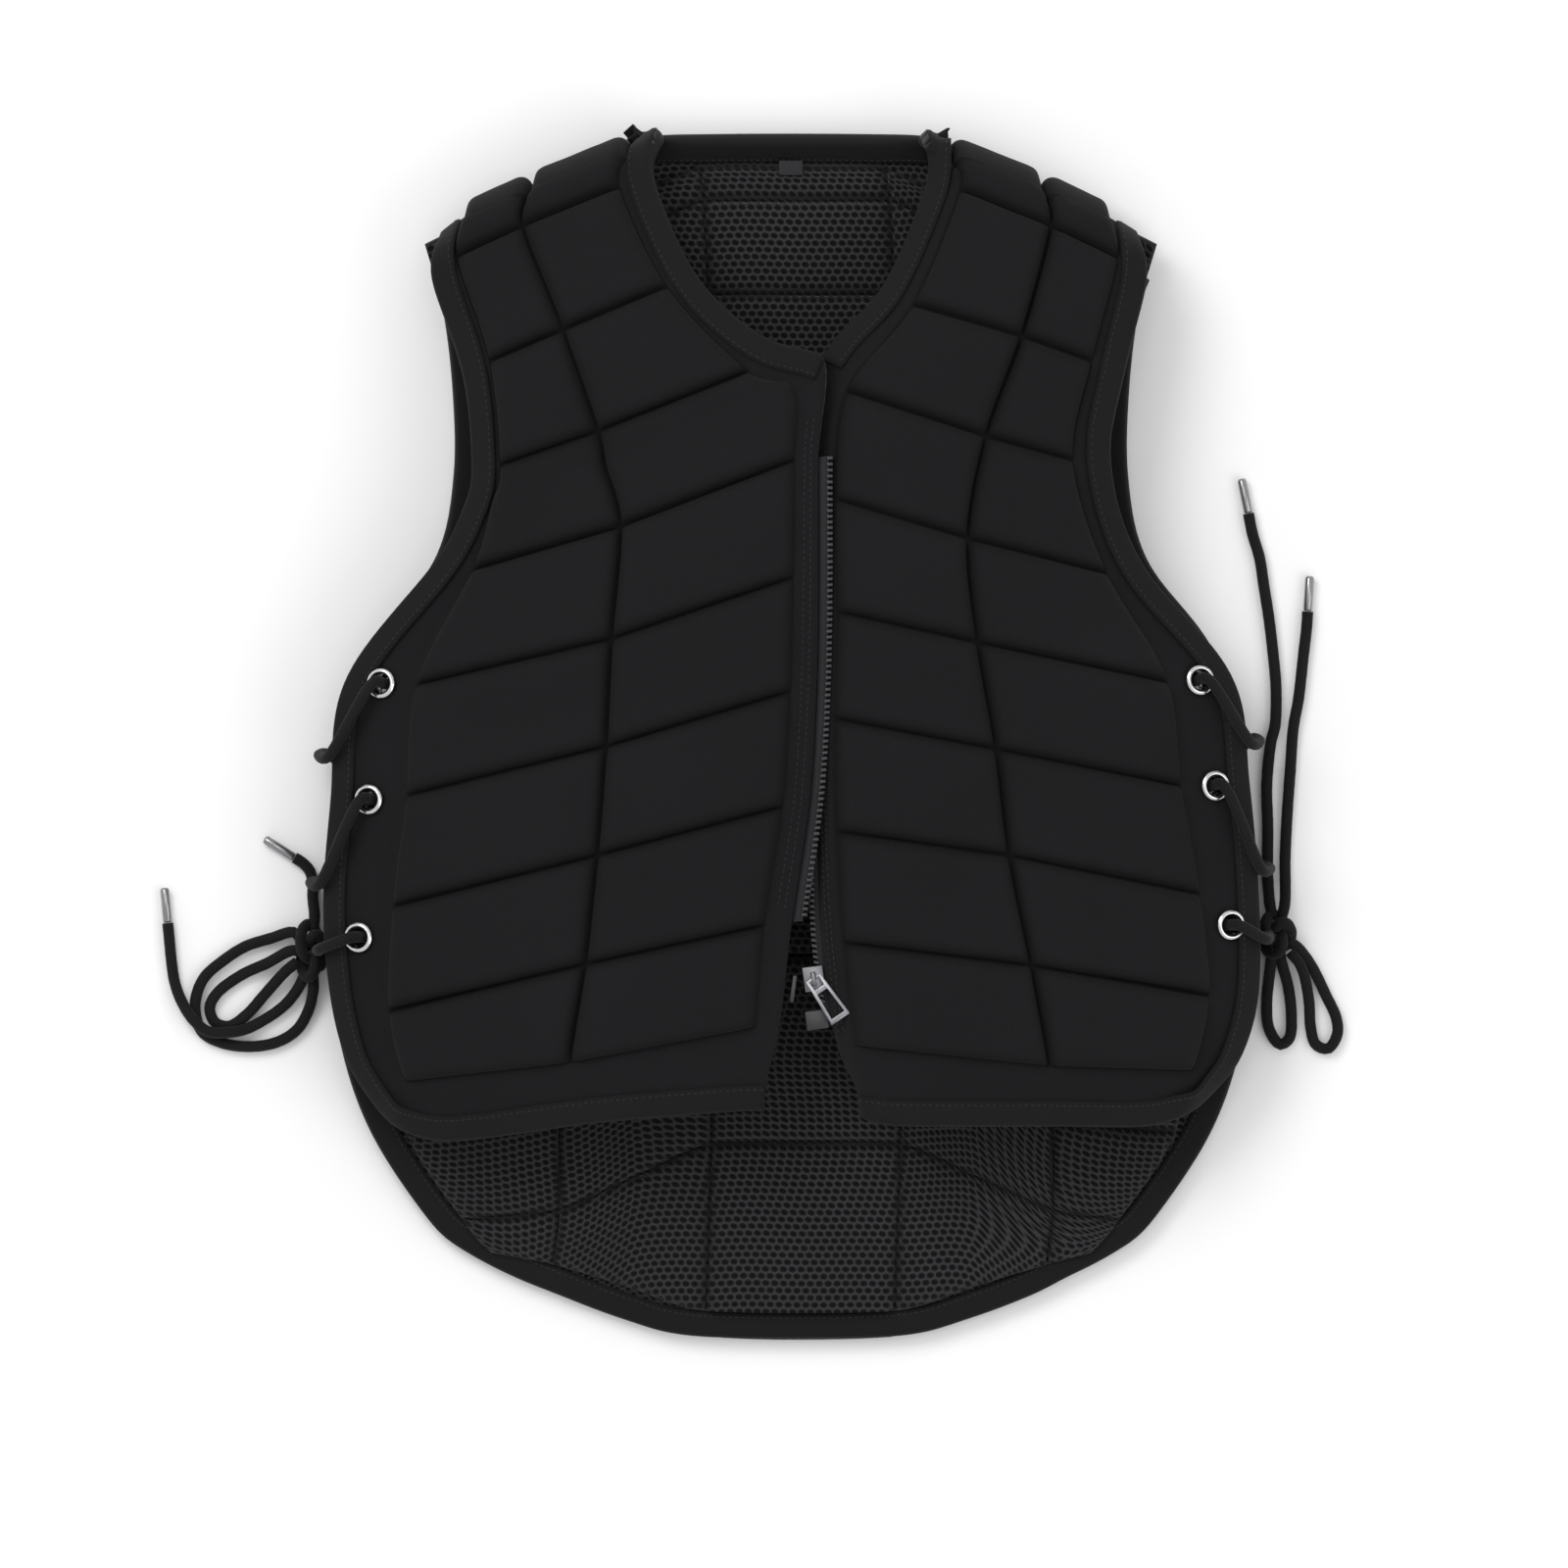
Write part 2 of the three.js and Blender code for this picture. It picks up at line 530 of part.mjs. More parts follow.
const rowsOfBack = backRows();
addSeam(rowsOfBack, 0, 1, 1);
addSeam(rowsOfBack, 10, 9, 10);
const BACK_COLUMNS = [
  "flat", "flat", "flat", "line", "pad", "line", "line", "pad", "line", "flat", "flat", "flat",
];
const BACK_INTERVALS = [
  "flat", "flat", "tile", "tile", "tile", "tile", "tile", "tile", "tile", "flat", "flat",
];
const MIDDLE_COLUMN = 5;
const NECK_COLUMNS = [4, 7]; // corners of the back's neck edge
const NECK_REACH = 0.78; // share of the band's width along the back of the neck
const backSheet = makeSheet(
  rowsOfBack,
  BACK_COLUMNS,
  BACK_INTERVALS,
  backHeight,
  (u, v) => {
    const inMiddle = u.base === MIDDLE_COLUMN && u.shift !== 0;
    const stitched = v.base >= FIRST_LONG_ROW && (v.base - FIRST_LONG_ROW) % 2 === 0;
    return inMiddle && v.kind === "line" && !stitched;
  },
);

// Mesh line of a table row or column
const lineOf = (lines, base) => lines.findIndex((line) => line.base === base && line.shift === 0);
const lineOfRow = (sheet, row) => lineOf(sheet.vLines, row);
const lastColumn = (sheet) => sheet.uLines.length - 1;
const lastLine = (sheet) => sheet.vLines.length - 1;

// Edge binding

// One station of a folded band: the panel's edge point and the seam point inside it
function station(sheet, edgeAt, seamAt) {
  const [ei, ej] = edgeAt;
  const [si, sj] = seamAt;
  return {
    edge: sheet.mid[ei][ej],
    seam: sheet.mid[si][sj],
    edgeUp: sheet.normal[ei][ej],
    seamUp: sheet.normal[si][sj],
  };
}

function bindingProfile({ edge, seam, edgeUp, seamUp }, grow = 0) {
  const inside = EDGE_THICKNESS / 2 + SLOT_GAP;
  const outside = inside + BINDING_WALL + grow;
  const out = new THREE.Vector3().subVectors(edge, seam).normalize();
  const from = (point, up, reach, rise) =>
    point.clone().addScaledVector(out, reach).addScaledVector(up, rise);
  const tip = SLOT_GAP + BINDING_WALL + grow;
  const outline = [
    from(seam, seamUp, 0, outside),
    from(edge, edgeUp, 0, outside),
    from(edge, edgeUp, tip, outside * BINDING_CORNER),
    from(edge, edgeUp, tip, -outside * BINDING_CORNER),
    from(edge, edgeUp, 0, -outside),
    from(seam, seamUp, 0, -outside),
  ];
  if (grow > 0) return outline;
  return [
    ...outline,
    from(seam, seamUp, 0, -inside),
    from(edge, edgeUp, SLOT_GAP, -inside),
    from(edge, edgeUp, SLOT_GAP, inside),
    from(seam, seamUp, 0, inside),
  ];
}

// The same profile on a flat panel, as the shape of the band's two ends
const BINDING_CONTOUR = bindingProfile({
  edge: new THREE.Vector3(BINDING_WIDTH, 0, 0),
  seam: new THREE.Vector3(0, 0, 0),
  edgeUp: new THREE.Vector3(0, 1, 0),
  seamUp: new THREE.Vector3(0, 1, 0),
}).map((point) => new THREE.Vector2(point.x, point.y));

const bindingGeometry = (stations) => loft(stations.map((one) => bindingProfile(one)), BINDING_CONTOUR);

// The band's outside as one solid, a little larger all round, to cut a neighbour with
function bindingCutter(stations) {
  const profiles = stations.map((one) => bindingProfile(one, TOUCH_GAP));
  const beyond = (near, next) =>
    near.map((point, i) => {
      const away = point.clone().sub(next[i]).normalize();
      return point.clone().addScaledVector(away, TOUCH_GAP);
    });
  const [last, beforeLast] = [profiles[profiles.length - 1], profiles[profiles.length - 2]];
  const first = beyond(profiles[0], profiles[1]);
  const outline = BINDING_CONTOUR.slice(0, profiles[0].length);
  return loft([first, ...profiles, beyond(last, beforeLast)], outline);
}
const range = (from, to) =>
  Array.from({ length: Math.abs(to - from) + 1 }, (_, k) => from + Math.sign(to - from) * k);
// Of some mesh lines, those on a row or column of the table
const onTable = (lines, numbers) => numbers.filter((n) => lines[n].shift === 0);

// A station whose band ends short of the first blocks
function shortened(one) {
  const seam = one.edge.clone().lerp(one.seam, NECK_REACH);
  return { ...one, seam };
}

// The same station seen from the panel's other face, so that a band keeps its inside inside
function turned(one) {
  return { ...one, edgeUp: one.edgeUp.clone().negate(), seamUp: one.seamUp.clone().negate() };
}

// Neck: up the left front, along the back of the neck and down the right front
function neckStations() {
  const up = range(lineOfRow(leftFront, FOLD_ROWS + LEFT_CORNER_ROW), 0);
  const left = onTable(leftFront.vLines, up).map((j) => station(leftFront, [0, j], [1, j]));
  const downRight = range(0, lineOfRow(rightFront, FOLD_ROWS + RIGHT_CORNER_ROW));
  const right = onTable(rightFront.vLines, downRight).map((j) => station(rightFront, [0, j], [1, j]));
  const across = range(...NECK_COLUMNS.map((column) => lineOf(backSheet.uLines, column)));
  const back = onTable(backSheet.uLines, across).map((i) => station(backSheet, [i, 0], [i, 1]));
  // The two corners already have the stations of the fronts
  return [...left, ...back.slice(1, -1).map(shortened), ...right.map(turned)];
}

// Hem from the zip to the side, round the corner and up to the shoulder seam
function frontEdgeStations(sheet) {
  const [i, j] = [lastColumn(sheet), lastLine(sheet)];
  const hem = onTable(sheet.uLines, range(0, i - 1)).map((c) => station(sheet, [c, j], [c, j - 1]));
  const side = onTable(sheet.vLines, range(j - 1, 0)).map((l) => station(sheet, [i, l], [i - 1, l]));
  return [...hem, station(sheet, [i, j], [i - 1, j - 1]), ...side];
}

// Down one side of the back, round the tail and up the other side
function backEdgeStations() {
  const [i, j] = [lastColumn(backSheet), lastLine(backSheet)];
  const down = onTable(backSheet.vLines, range(0, j - 1)).map((l) => station(backSheet, [0, l], [1, l]));
  const tail = onTable(backSheet.uLines, range(1, i - 1)).map((c) => station(backSheet, [c, j], [c, j - 1]));
  const up = onTable(backSheet.vLines, range(j - 1, 0)).map((l) => station(backSheet, [i, l], [i - 1, l]));
  const firstCorner = station(backSheet, [0, j], [1, j - 1]);
  const secondCorner = station(backSheet, [i, j], [i - 1, j - 1]);
  return [...down, firstCorner, ...tail, secondCorner, ...up];
}

// Eyelets

// Spool with a flange on either face of the band, closed on itself
function eyeletGeometry(reach, grow = 0) {
  const face = reach / 2 + TOUCH_GAP;
  const barrel = EYELET_BORE + EYELET_WALL + grow;
  const flange = EYELET_RADIUS + grow;
  const top = face + EYELET_WALL + grow;
  const bore = grow > 0 ? 0 : EYELET_BORE;
  const profile = [
    [bore, -top], [flange, -top], [flange, -face + grow], [barrel, -face + grow],
    [barrel, face - grow], [flange, face - grow], [flange, top], [bore, top],
  ];
  if (grow === 0) profile.push([bore, -top]);
  const lathe = new THREE.LatheGeometry(profile.map(([x, y]) => new THREE.Vector2(x, y)), EYELET_SIDES);
  lathe.rotateX(Math.PI / 2);
  return lathe;
}

// Turn and move a geometry so that its +Z follows up and its +Y follows forward
function seat(geometry, point, up, forward = new THREE.Vector3(0, 1, 0)) {
  const x = new THREE.Vector3().crossVectors(forward, up).normalize();
  const y = new THREE.Vector3().crossVectors(up, x);
  const matrix = new THREE.Matrix4().makeBasis(x, y, up).setPosition(point);
  return geometry.clone().applyMatrix4(matrix);
}

// Mesh line and share for a fractional row
function rowPlace(sheet, row) {
  const base = Math.floor(row);
  const start = lineOfRow(sheet, base);
  const end = lineOfRow(sheet, base + 1);
  const yStart = sheet.mid[0][start].y;
  const yEnd = sheet.mid[0][end].y;
  const target = yStart + (yEnd - yStart) * (row - base);
  let j = start;
  while (j < end - 1 && sheet.mid[0][j + 1].y > target) j += 1;
  return { j, rowShare: (sheet.mid[0][j].y - target) / (sheet.mid[0][j].y - sheet.mid[0][j + 1].y) };
}

// Frame of a place on the side band: share 0 is the outer edge and 1 the first tile
function bandFrame(sheet, row, share, fromEnd) {
  const { j, rowShare } = rowPlace(sheet, row);
  const last = lastColumn(sheet);
  const pick = (k) => (fromEnd ? last - k : k);
  const at = (k) => {
    const next = Math.min(j + 1, lastLine(sheet));
    return {
      point: sheet.mid[pick(k)][j].clone().lerp(sheet.mid[pick(k)][next], rowShare),
      up: sheet.normal[pick(k)][j].clone().lerp(sheet.normal[pick(k)][next], rowShare).normalize(),
    };
  };
  const [edge, seam, tile] = [at(0), at(1), at(2)];
  for (const { up } of [edge, seam, tile]) {
    if (up.z < 0) up.negate();
  }
  const whole = edge.point.distanceTo(seam.point) + seam.point.distanceTo(tile.point);
  const reach = share * whole;
  const first = edge.point.distanceTo(seam.point);
  const point =
    reach < first
      ? edge.point.clone().lerp(seam.point, reach / first)
      : seam.point.clone().lerp(tile.point, (reach - first) / (whole - first));
  return {
    point,
    up: seam.up.clone().lerp(tile.up, 0.5).normalize(),
    edge: edge.point,
    out: new THREE.Vector3().subVectors(edge.point, seam.point).normalize(),
    edgeUp: edge.up,
  };
}

const SIDES = [
  { name: "left", front: leftFront, rowShift: FOLD_ROWS, backFromEnd: false, sign: -1 },
  { name: "right", front: rightFront, rowShift: FOLD_ROWS - 1, backFromEnd: true, sign: 1 },
];
const BAND_REACH = EDGE_THICKNESS + 2 * (SLOT_GAP + BINDING_WALL);
for (const side of SIDES) {
  side.frontFrame = (row) => bandFrame(side.front, row + side.rowShift, EYELET_SHARE, true);
  side.frontFrames = EYELET_ROWS.map((row) => side.frontFrame(row));
  side.backFrames = BACK_EYELET_ROWS.map((row) => bandFrame(backSheet, row, EYELET_SHARE, side.backFromEnd));
}
const eyeletCutter = eyeletGeometry(BAND_REACH, TOUCH_GAP);
const cuttersOf = (frames) => frames.map((frame) => seat(eyeletCutter, frame.point, frame.up));

// Laces

// Round cord along a curve, pressed flat where it would go through the floor
function laceTube(curve, steps) {
  const corner = new THREE.Vector2(LACE_DIAMETER / 2, 0);
  const turn = (k) => corner.clone().rotateAround(new THREE.Vector2(), (2 * Math.PI * k) / LACE_SIDES);
  const ring = new THREE.Shape(range(0, LACE_SIDES - 1).map(turn));
  const cord = new THREE.ExtrudeGeometry(ring, { steps, bevelEnabled: false, extrudePath: curve });
  const positions = cord.getAttribute("position");
  for (let i = 0; i < positions.count; i += 1) positions.setZ(i, Math.max(positions.getZ(i), 0));
  return cord;
}

// Route of a lace through its eyelets: from the knot over the front's band, down through the
// eyelets, out below the back's band and up round both edges, three times
function heldRoute(side, knot) {
  const clear = LACE_DIAMETER / 2 + LACE_CLEAR;
  const face = BAND_REACH / 2 + TOUCH_GAP + EYELET_WALL;
  const at = (frame, rise, outward = 0) =>
    frame.point.clone().addScaledVector(frame.up, rise).addScaledVector(frame.out, outward);
  const over = ({ edge, edgeUp, out }) => {
    const top = edge.clone().addScaledVector(edgeUp, BAND_REACH / 2 + clear + BINDING_WALL);
    const outer = edge.clone().addScaledVector(out, BINDING_WALL + SLOT_GAP + clear + LACE_SLACK);
    return [top, outer];
  };
  const [knotTop] = over(side.frontFrame(LAST_EYELET_ROW + LACE_LEAN));
  const points = [knot.clone().add(new THREE.Vector3(-side.sign * KNOT_EXIT[0], 0, KNOT_EXIT[1])), knotTop];
  for (const k of [2, 1, 0]) {
    const [front, back] = [side.frontFrames[k], side.backFrames[k]];
    points.push(at(front, face + clear, 2), at(front, 0), at(front, -face - 1));
    if (k === 0) break;
    points.push(at(back, face), at(back, 0), at(back, -face - clear, 1));
    const between = (EYELET_ROWS[k] + EYELET_ROWS[k - 1]) / 2;
    const [top, outer] = over(side.frontFrame(between + LACE_LEAN));
    const low = outer.clone().setZ(BACK_CURL - BAND_REACH / 2 - clear);
    low.x -= side.sign * LACE_SLACK;
    const middle = outer.clone().setZ((BACK_CURL + outer.z) / 2);
    middle.x += (side.sign * LACE_SLACK) / 2;
    points.push(low, middle, top);
  }
  return points;
}

// Zip

// Frames along a front's zip edge: the edge point, the way across to the other front, and up
function zipFrames(sheet, fromRow, toRow) {
  const lines = range(lineOfRow(sheet, fromRow), lineOfRow(sheet, toRow));
  return lines.map((j) => ({
    point: sheet.mid[0][j],
    out: new THREE.Vector3().subVectors(sheet.mid[0][j], sheet.mid[1][j]).setZ(0).normalize(),
    up: UP,
  }));
}

// Flat strip beside the zip edge, from reach to reach + width
function strip(frames, reach, width, thickness) {
  const contour = [[0, -1], [1, -1], [1, 1], [0, 1]];
  const profiles = frames.map(({ point, out, up }) =>
    contour.map(([a, b]) => {
      const across = point.clone().addScaledVector(out, reach + a * width);
      return across.addScaledVector(up, (b * thickness) / 2);
    }),
  );
  const outline = contour.map(([x, y]) => new THREE.Vector2(x * width, (y * thickness) / 2));
  return loft(profiles, outline);
}

// Frame between two of a strip's frames, at a length across from the edge
function zipPlace(frames, y, reach) {
  let k = 0;
  while (k < frames.length - 2 && frames[k + 1].point.y > y) k += 1;
  const [a, b] = [frames[k], frames[k + 1]];
  const share = (a.point.y - y) / (a.point.y - b.point.y);
  const point = a.point.clone().lerp(b.point, share).addScaledVector(a.out, reach);
  return { point, along: new THREE.Vector3().subVectors(a.point, b.point).normalize() };
}

const TAPE_START = TOUCH_GAP;
const TEETH_START = TAPE_START + TAPE_WIDTH + TOUCH_GAP;
const TEETH_MIDDLE = TEETH_START + TEETH_WIDTH / 2;
const LEFT_ZIP_ROWS = [FOLD_ROWS + LEFT_CORNER_ROW + 1, FOLD_ROWS + 8];
const RIGHT_ZIP_ROWS = [FOLD_ROWS + RIGHT_CORNER_ROW + 1, FOLD_ROWS + 8];
const heightOf = (share) => (0.5 - share) * LENGTH;

// Frames down to a height, with a last one made at that height
function trimmed(frames, foot) {
  const kept = frames.filter((frame) => frame.point.y > foot + 1);
  const { point } = zipPlace(frames, foot, 0);
  return [...kept, { point, out: kept[kept.length - 1].out, up: kept[0].up }];
}

const box = (x, y, z) => new THREE.BoxGeometry(x, y, z);
const moved = (geometry, x, y, z) => geometry.clone().translate(x, y, z);

// Two plates, the post that parts the teeth, and the bridge that holds the pull
function sliderGeometry() {
  const inside = TEETH_HEIGHT / 2 + SLIDER_ROOM;
  const plate = box(SLIDER_WIDTH, SLIDER_LENGTH, SLIDER_PLATE);
  const level = inside + SLIDER_PLATE / 2;
  const post = box(...POST_SIZE, 2 * inside + SLIDER_PLATE);
  const top = inside + SLIDER_PLATE;
  const leg = box(BRIDGE_WIDTH, BRIDGE_THICKNESS, BRIDGE_CLEAR + BRIDGE_THICKNESS + SLIDER_PLATE);
  const legHeight = top + (BRIDGE_CLEAR + BRIDGE_THICKNESS - SLIDER_PLATE) / 2;
  const legPlace = (BRIDGE_LENGTH - BRIDGE_THICKNESS) / 2;
  const beam = box(BRIDGE_WIDTH, BRIDGE_LENGTH, BRIDGE_THICKNESS);
  return join(
    moved(plate, 0, 0, level),
    moved(plate, 0, 0, -level),
    moved(post, 0, (SLIDER_LENGTH - POST_SIZE[1]) / 2, 0),
    moved(leg, 0, legPlace, legHeight),
    moved(leg, 0, -legPlace, legHeight),
    moved(beam, 0, 0, top + BRIDGE_CLEAR + BRIDGE_THICKNESS / 2),
  );
}
const PULL_AXIS_HEIGHT = TEETH_HEIGHT / 2 + SLIDER_ROOM + SLIDER_PLATE + BRIDGE_CLEAR / 2;

// Tapered plate with an eye for the bridge and a slot at its end; its axis is its own X
function pullGeometry() {
  const bar = PULL_THICKNESS / 2;
  const shape = new THREE.Shape();
  shape.moveTo(-PULL_HEAD_WIDTH / 2, bar);
  shape.lineTo(-PULL_END_WIDTH / 2, -PULL_LENGTH);
  shape.lineTo(PULL_END_WIDTH / 2, -PULL_LENGTH);
  shape.lineTo(PULL_HEAD_WIDTH / 2, bar);
  shape.closePath();
  const opening = (halfTop, halfEnd, from, to) => {
    const hole = new THREE.Path();
    hole.moveTo(-halfTop, -from);
    hole.lineTo(halfTop, -from);
    hole.lineTo(halfEnd, -to);
    hole.lineTo(-halfEnd, -to);
    hole.closePath();
    return hole;
  };
  const eye = PULL_EYE_WIDTH / 2;
  shape.holes.push(opening(eye, eye, bar, PULL_EYE_LENGTH));
  const headHalf = PULL_HEAD_WIDTH / 2 - PULL_FRAME[0];
  const endHalf = PULL_END_WIDTH / 2 - PULL_FRAME[1];
  shape.holes.push(opening(headHalf, endHalf, PULL_EYE_LENGTH + PULL_BAR, PULL_LENGTH - PULL_BAR));
  const plate = new THREE.ExtrudeGeometry(shape, { depth: PULL_THICKNESS, bevelEnabled: false });
  return plate.translate(0, 0, -PULL_THICKNESS / 2);
}

// Knots, loops and tails of the two side laces. Points are (x, y, height) in millimetres.

const FLOOR = LACE_DIAMETER / 2 + 0.4;
const LIFT = FLOOR + LACE_DIAMETER + 0.4; // over another strand
const KNOTS = {
  left: { middle: [-234.5, -108, 9.2], size: [9.2, 16.5, 9] },
  right: { middle: [237.5, -100, 9.2], size: [10, 13, 9] },
};
const LACE_ROUTES = {
  lace_loop_left_1: [
    [-243, -99, 8], [-254.5, -102, 4], [-267, -106, FLOOR], [-278, -113, FLOOR], [-287, -121, FLOOR],
    [-291, -130, FLOOR], [-291.5, -139, FLOOR], [-288, -148, FLOOR], [-279, -153, FLOOR], [-266, -155, FLOOR],
    [-252, -153, FLOOR], [-242, -147, FLOOR], [-236, -137, 4.5], [-233.5, -126, 8],
  ],
  lace_loop_left_2: [
    [-244.5, -108, 9], [-256, -114, 6], [-269, -120, FLOOR], [-281, -129, FLOOR], [-284.5, -136, FLOOR],
    [-282, -143, FLOOR], [-275, -145, FLOOR], [-266, -139, FLOOR], [-258, -130, FLOOR], [-247, -118, 8],
  ],
  lace_tail_left_1: [
    [-239.5, -123.5, 6.5], [-247, -134, 4], [-258, -142, FLOOR], [-267, -146.5, 5], [-276, -148, LIFT],
    [-285, -147.5, LIFT], [-292, -142, LIFT], [-298, -133, 6], [-301.5, -124, FLOOR], [-303, -115, FLOOR],
    [-304, -105, FLOOR], [-305, -94.5, FLOOR],
  ],
  lace_tail_left_2: [
    [-233, -91, 7], [-234, -82, 4], [-234, -75, FLOOR], [-235.5, -69, FLOOR], [-239, -65, FLOOR],
    [-243, -62.5, FLOOR],
  ],
  lace_loop_right_1: [
    [235, -113, 8], [234, -122, 4], [233, -133, FLOOR], [234, -146, FLOOR], [239.5, -154, FLOOR],
    [244, -151, FLOOR], [245, -139, FLOOR], [243.5, -126, 4.5], [240, -113.5, 8],
  ],
  lace_loop_right_2: [
    [247.5, -106, 8], [254.5, -115, 5], [262, -130, FLOOR], [267, -141, FLOOR], [267.5, -149, FLOOR],
    [263, -156, FLOOR], [257, -154, FLOOR], [254.5, -146, FLOOR], [253.5, -132, 4.5], [249.5, -115.5, 9],
  ],
  lace_tail_right_1: [
    [234.5, -86.5, 8], [233.5, -72, FLOOR], [233.5, -48, FLOOR], [233, -27, FLOOR], [235, -6, FLOOR],
    [237, 2, FLOOR], [237.5, 21, FLOOR], [236, 38, FLOOR], [234, 55, FLOOR], [231.5, 71, FLOOR],
    [229.5, 84, FLOOR], [226, 96, FLOOR], [224, 106, FLOOR],
  ],
  lace_tail_right_2: [
    [241.5, -86, 8], [242, -62, FLOOR], [243, -41, FLOOR], [244.5, -20, FLOOR], [246, 1, FLOOR],
    [248.5, 15, FLOOR], [251, 37, FLOOR], [252.5, 50, FLOOR], [253, 58, FLOOR],
  ],
};

// Curve of a free cord that starts inside its knot, and a loop ends there too
function freeCurve(name, knot) {
  const middle = new THREE.Vector3(...knot.middle);
  const points = LACE_ROUTES[name].map(([x, y, z]) => new THREE.Vector3(x, y, z));
  points.unshift(points[0].clone().lerp(middle, KNOT_DEPTH));
  if (name.includes("loop")) points.push(points[points.length - 1].clone().lerp(middle, KNOT_DEPTH));
  return new THREE.CatmullRomCurve3(points, false, "centripetal");
}

function knotGeometry({ middle, size }) {
  return new THREE.SphereGeometry(1, 12, 8).scale(...size).translate(...middle);
}

// Assembly

const group = new THREE.Group();

function place(name, geometry, material, parent = group) {
  const mesh = new THREE.Mesh(geometry, material);
  mesh.name = name;
  parent.add(mesh);
  return mesh;
}

const sheets = [[leftFront, false], [rightFront, false], [backSheet, true]];
const panels = sheets.map(([sheet, liningUp]) => sheetGeometry(sheet, liningUp));
const grown = sheets.map(([sheet, liningUp]) => sheetGeometry(sheet, liningUp, TOUCH_GAP));
const eyeletCutters = SIDES.flatMap((side) => cuttersOf([...side.frontFrames, ...side.backFrames]));
const frontBands = [frontEdgeStations(leftFront), frontEdgeStations(rightFront)];

place("front_left_panel", cut(panels[0], ...eyeletCutters), FABRIC);
place("front_right_panel", cut(panels[1], ...eyeletCutters), FABRIC);
place("back_panel", cut(panels[2], grown[0], grown[1], ...eyeletCutters), FABRIC);

const neckBand = cut(bindingGeometry(neckStations()), ...grown);
place("neck_binding", neckBand, BINDING);
frontBands.forEach((stations, k) => {
  const band = cut(bindingGeometry(stations), ...grown, ...panels, ...eyeletCutters);
  place(`edge_binding_front_${SIDES[k].name}`, band, BINDING);
});
const backBand = bindingGeometry(backEdgeStations());
const backCutters = [...grown, ...panels, ...frontBands.map(bindingCutter), ...eyeletCutters];
place("edge_binding_back", cut(backBand, ...backCutters), BINDING);

const eyelet = toGeometry(toSolid(eyeletGeometry(BAND_REACH)));
for (const side of SIDES) {
  side.frontFrames.forEach((frame, k) => {
    place(`eyelet_front_${side.name}_${k + 1}`, seat(eyelet, frame.point, frame.up), NICKEL);
  });
  side.backFrames.forEach((frame, k) => {
    place(`eyelet_back_${side.name}_${k + 1}`, seat(eyelet, frame.point, frame.up), NICKEL);
  });
}

const leftZip = zipFrames(leftFront, ...LEFT_ZIP_ROWS);
const rightZip = zipFrames(rightFront, ...RIGHT_ZIP_ROWS);
const downTo = (frames, foot) => trimmed(frames, heightOf(foot));
const tape = (frames, foot) => strip(downTo(frames, foot), TAPE_START, TAPE_WIDTH, TAPE_THICKNESS);
const teeth = (frames, foot) => strip(downTo(frames, foot), TEETH_START, TEETH_WIDTH, TEETH_HEIGHT);
place("zip_tape_left", cut(tape(leftZip, LEFT_TAPE_FOOT), grown[0]), TAPE);
place("zip_tape_right", cut(tape(rightZip, RIGHT_TAPE_FOOT), grown[1]), TAPE);
place("zip_teeth_left", teeth(leftZip, LEFT_TEETH_FOOT), PLASTIC);
place("zip_teeth_right", teeth(rightZip, RIGHT_TEETH_FOOT), PLASTIC);

// A block below the teeth, its inner side in line with theirs
function zipBlock(name, frames, teethFoot, drop, size) {
  const middle = heightOf(teethFoot) - drop - size[1] / 2;
  const { point, along } = zipPlace(frames, middle, TEETH_START + size[0] / 2);
  place(name, seat(box(...size), point, UP, along), PLASTIC);
}
zipBlock("zip_pin", leftZip, LEFT_TEETH_FOOT, PIN_DROP, PIN_SIZE);
zipBlock("zip_box", rightZip, RIGHT_TEETH_FOOT, BOX_DROP, BOX_SIZE);

const sliderPlace = zipPlace(rightZip, heightOf(SLIDER_FOOT), TEETH_MIDDLE + SLIDER_OFFSET);
const slider = new THREE.Group();
slider.position.copy(sliderPlace.point);
slider.rotation.z = Math.atan2(sliderPlace.along.y, sliderPlace.along.x) - Math.PI / 2;
group.add(slider);
place("zip_slider", sliderGeometry(), GUNMETAL, slider);
const pull = place("zip_pull", pullGeometry(), GUNMETAL, slider);
pull.position.z = PULL_AXIS_HEIGHT;
pull.rotation.set(-radians(PULL_TILT), 0, radians(PULL_LEAN), "ZYX");

place("size_tab", box(...TAB_SIZE).translate(0, heightOf(TAB_PLACE), TAB_HEIGHT), FABRIC);

for (const side of SIDES) {
  const knot = KNOTS[side.name];
  const cutter = knotGeometry({ middle: knot.middle, size: knot.size.map((length) => length + TOUCH_GAP) });
  const route = heldRoute(side, new THREE.Vector3(...knot.middle));
  const heldCurve = new THREE.CatmullRomCurve3(route, false, "centripetal");
  place(`lace_knot_${side.name}`, knotGeometry(knot), LACE);
  place(`lace_held_${side.name}`, cut(laceTube(heldCurve, HELD_STEPS), cutter), LACE);
  for (const name of Object.keys(LACE_ROUTES).filter((key) => key.includes(side.name))) {
    const curve = freeCurve(name, knot);
    place(name, cut(laceTube(curve, FREE_STEPS), cutter), LACE);
    if (name.includes("loop")) continue;
    const along = curve.getTangent(1).setZ(0).normalize();
    const rod = new THREE.CylinderGeometry(AGLET_DIAMETER / 2, AGLET_DIAMETER / 2, AGLET_LENGTH, AGLET_SIDES);
    const middle = curve.getPoint(1).addScaledVector(along, AGLET_LENGTH / 2 + TOUCH_GAP);
    place(name.replace("tail", "aglet"), seat(rod, middle, UP, along), AGLET);
  }
}

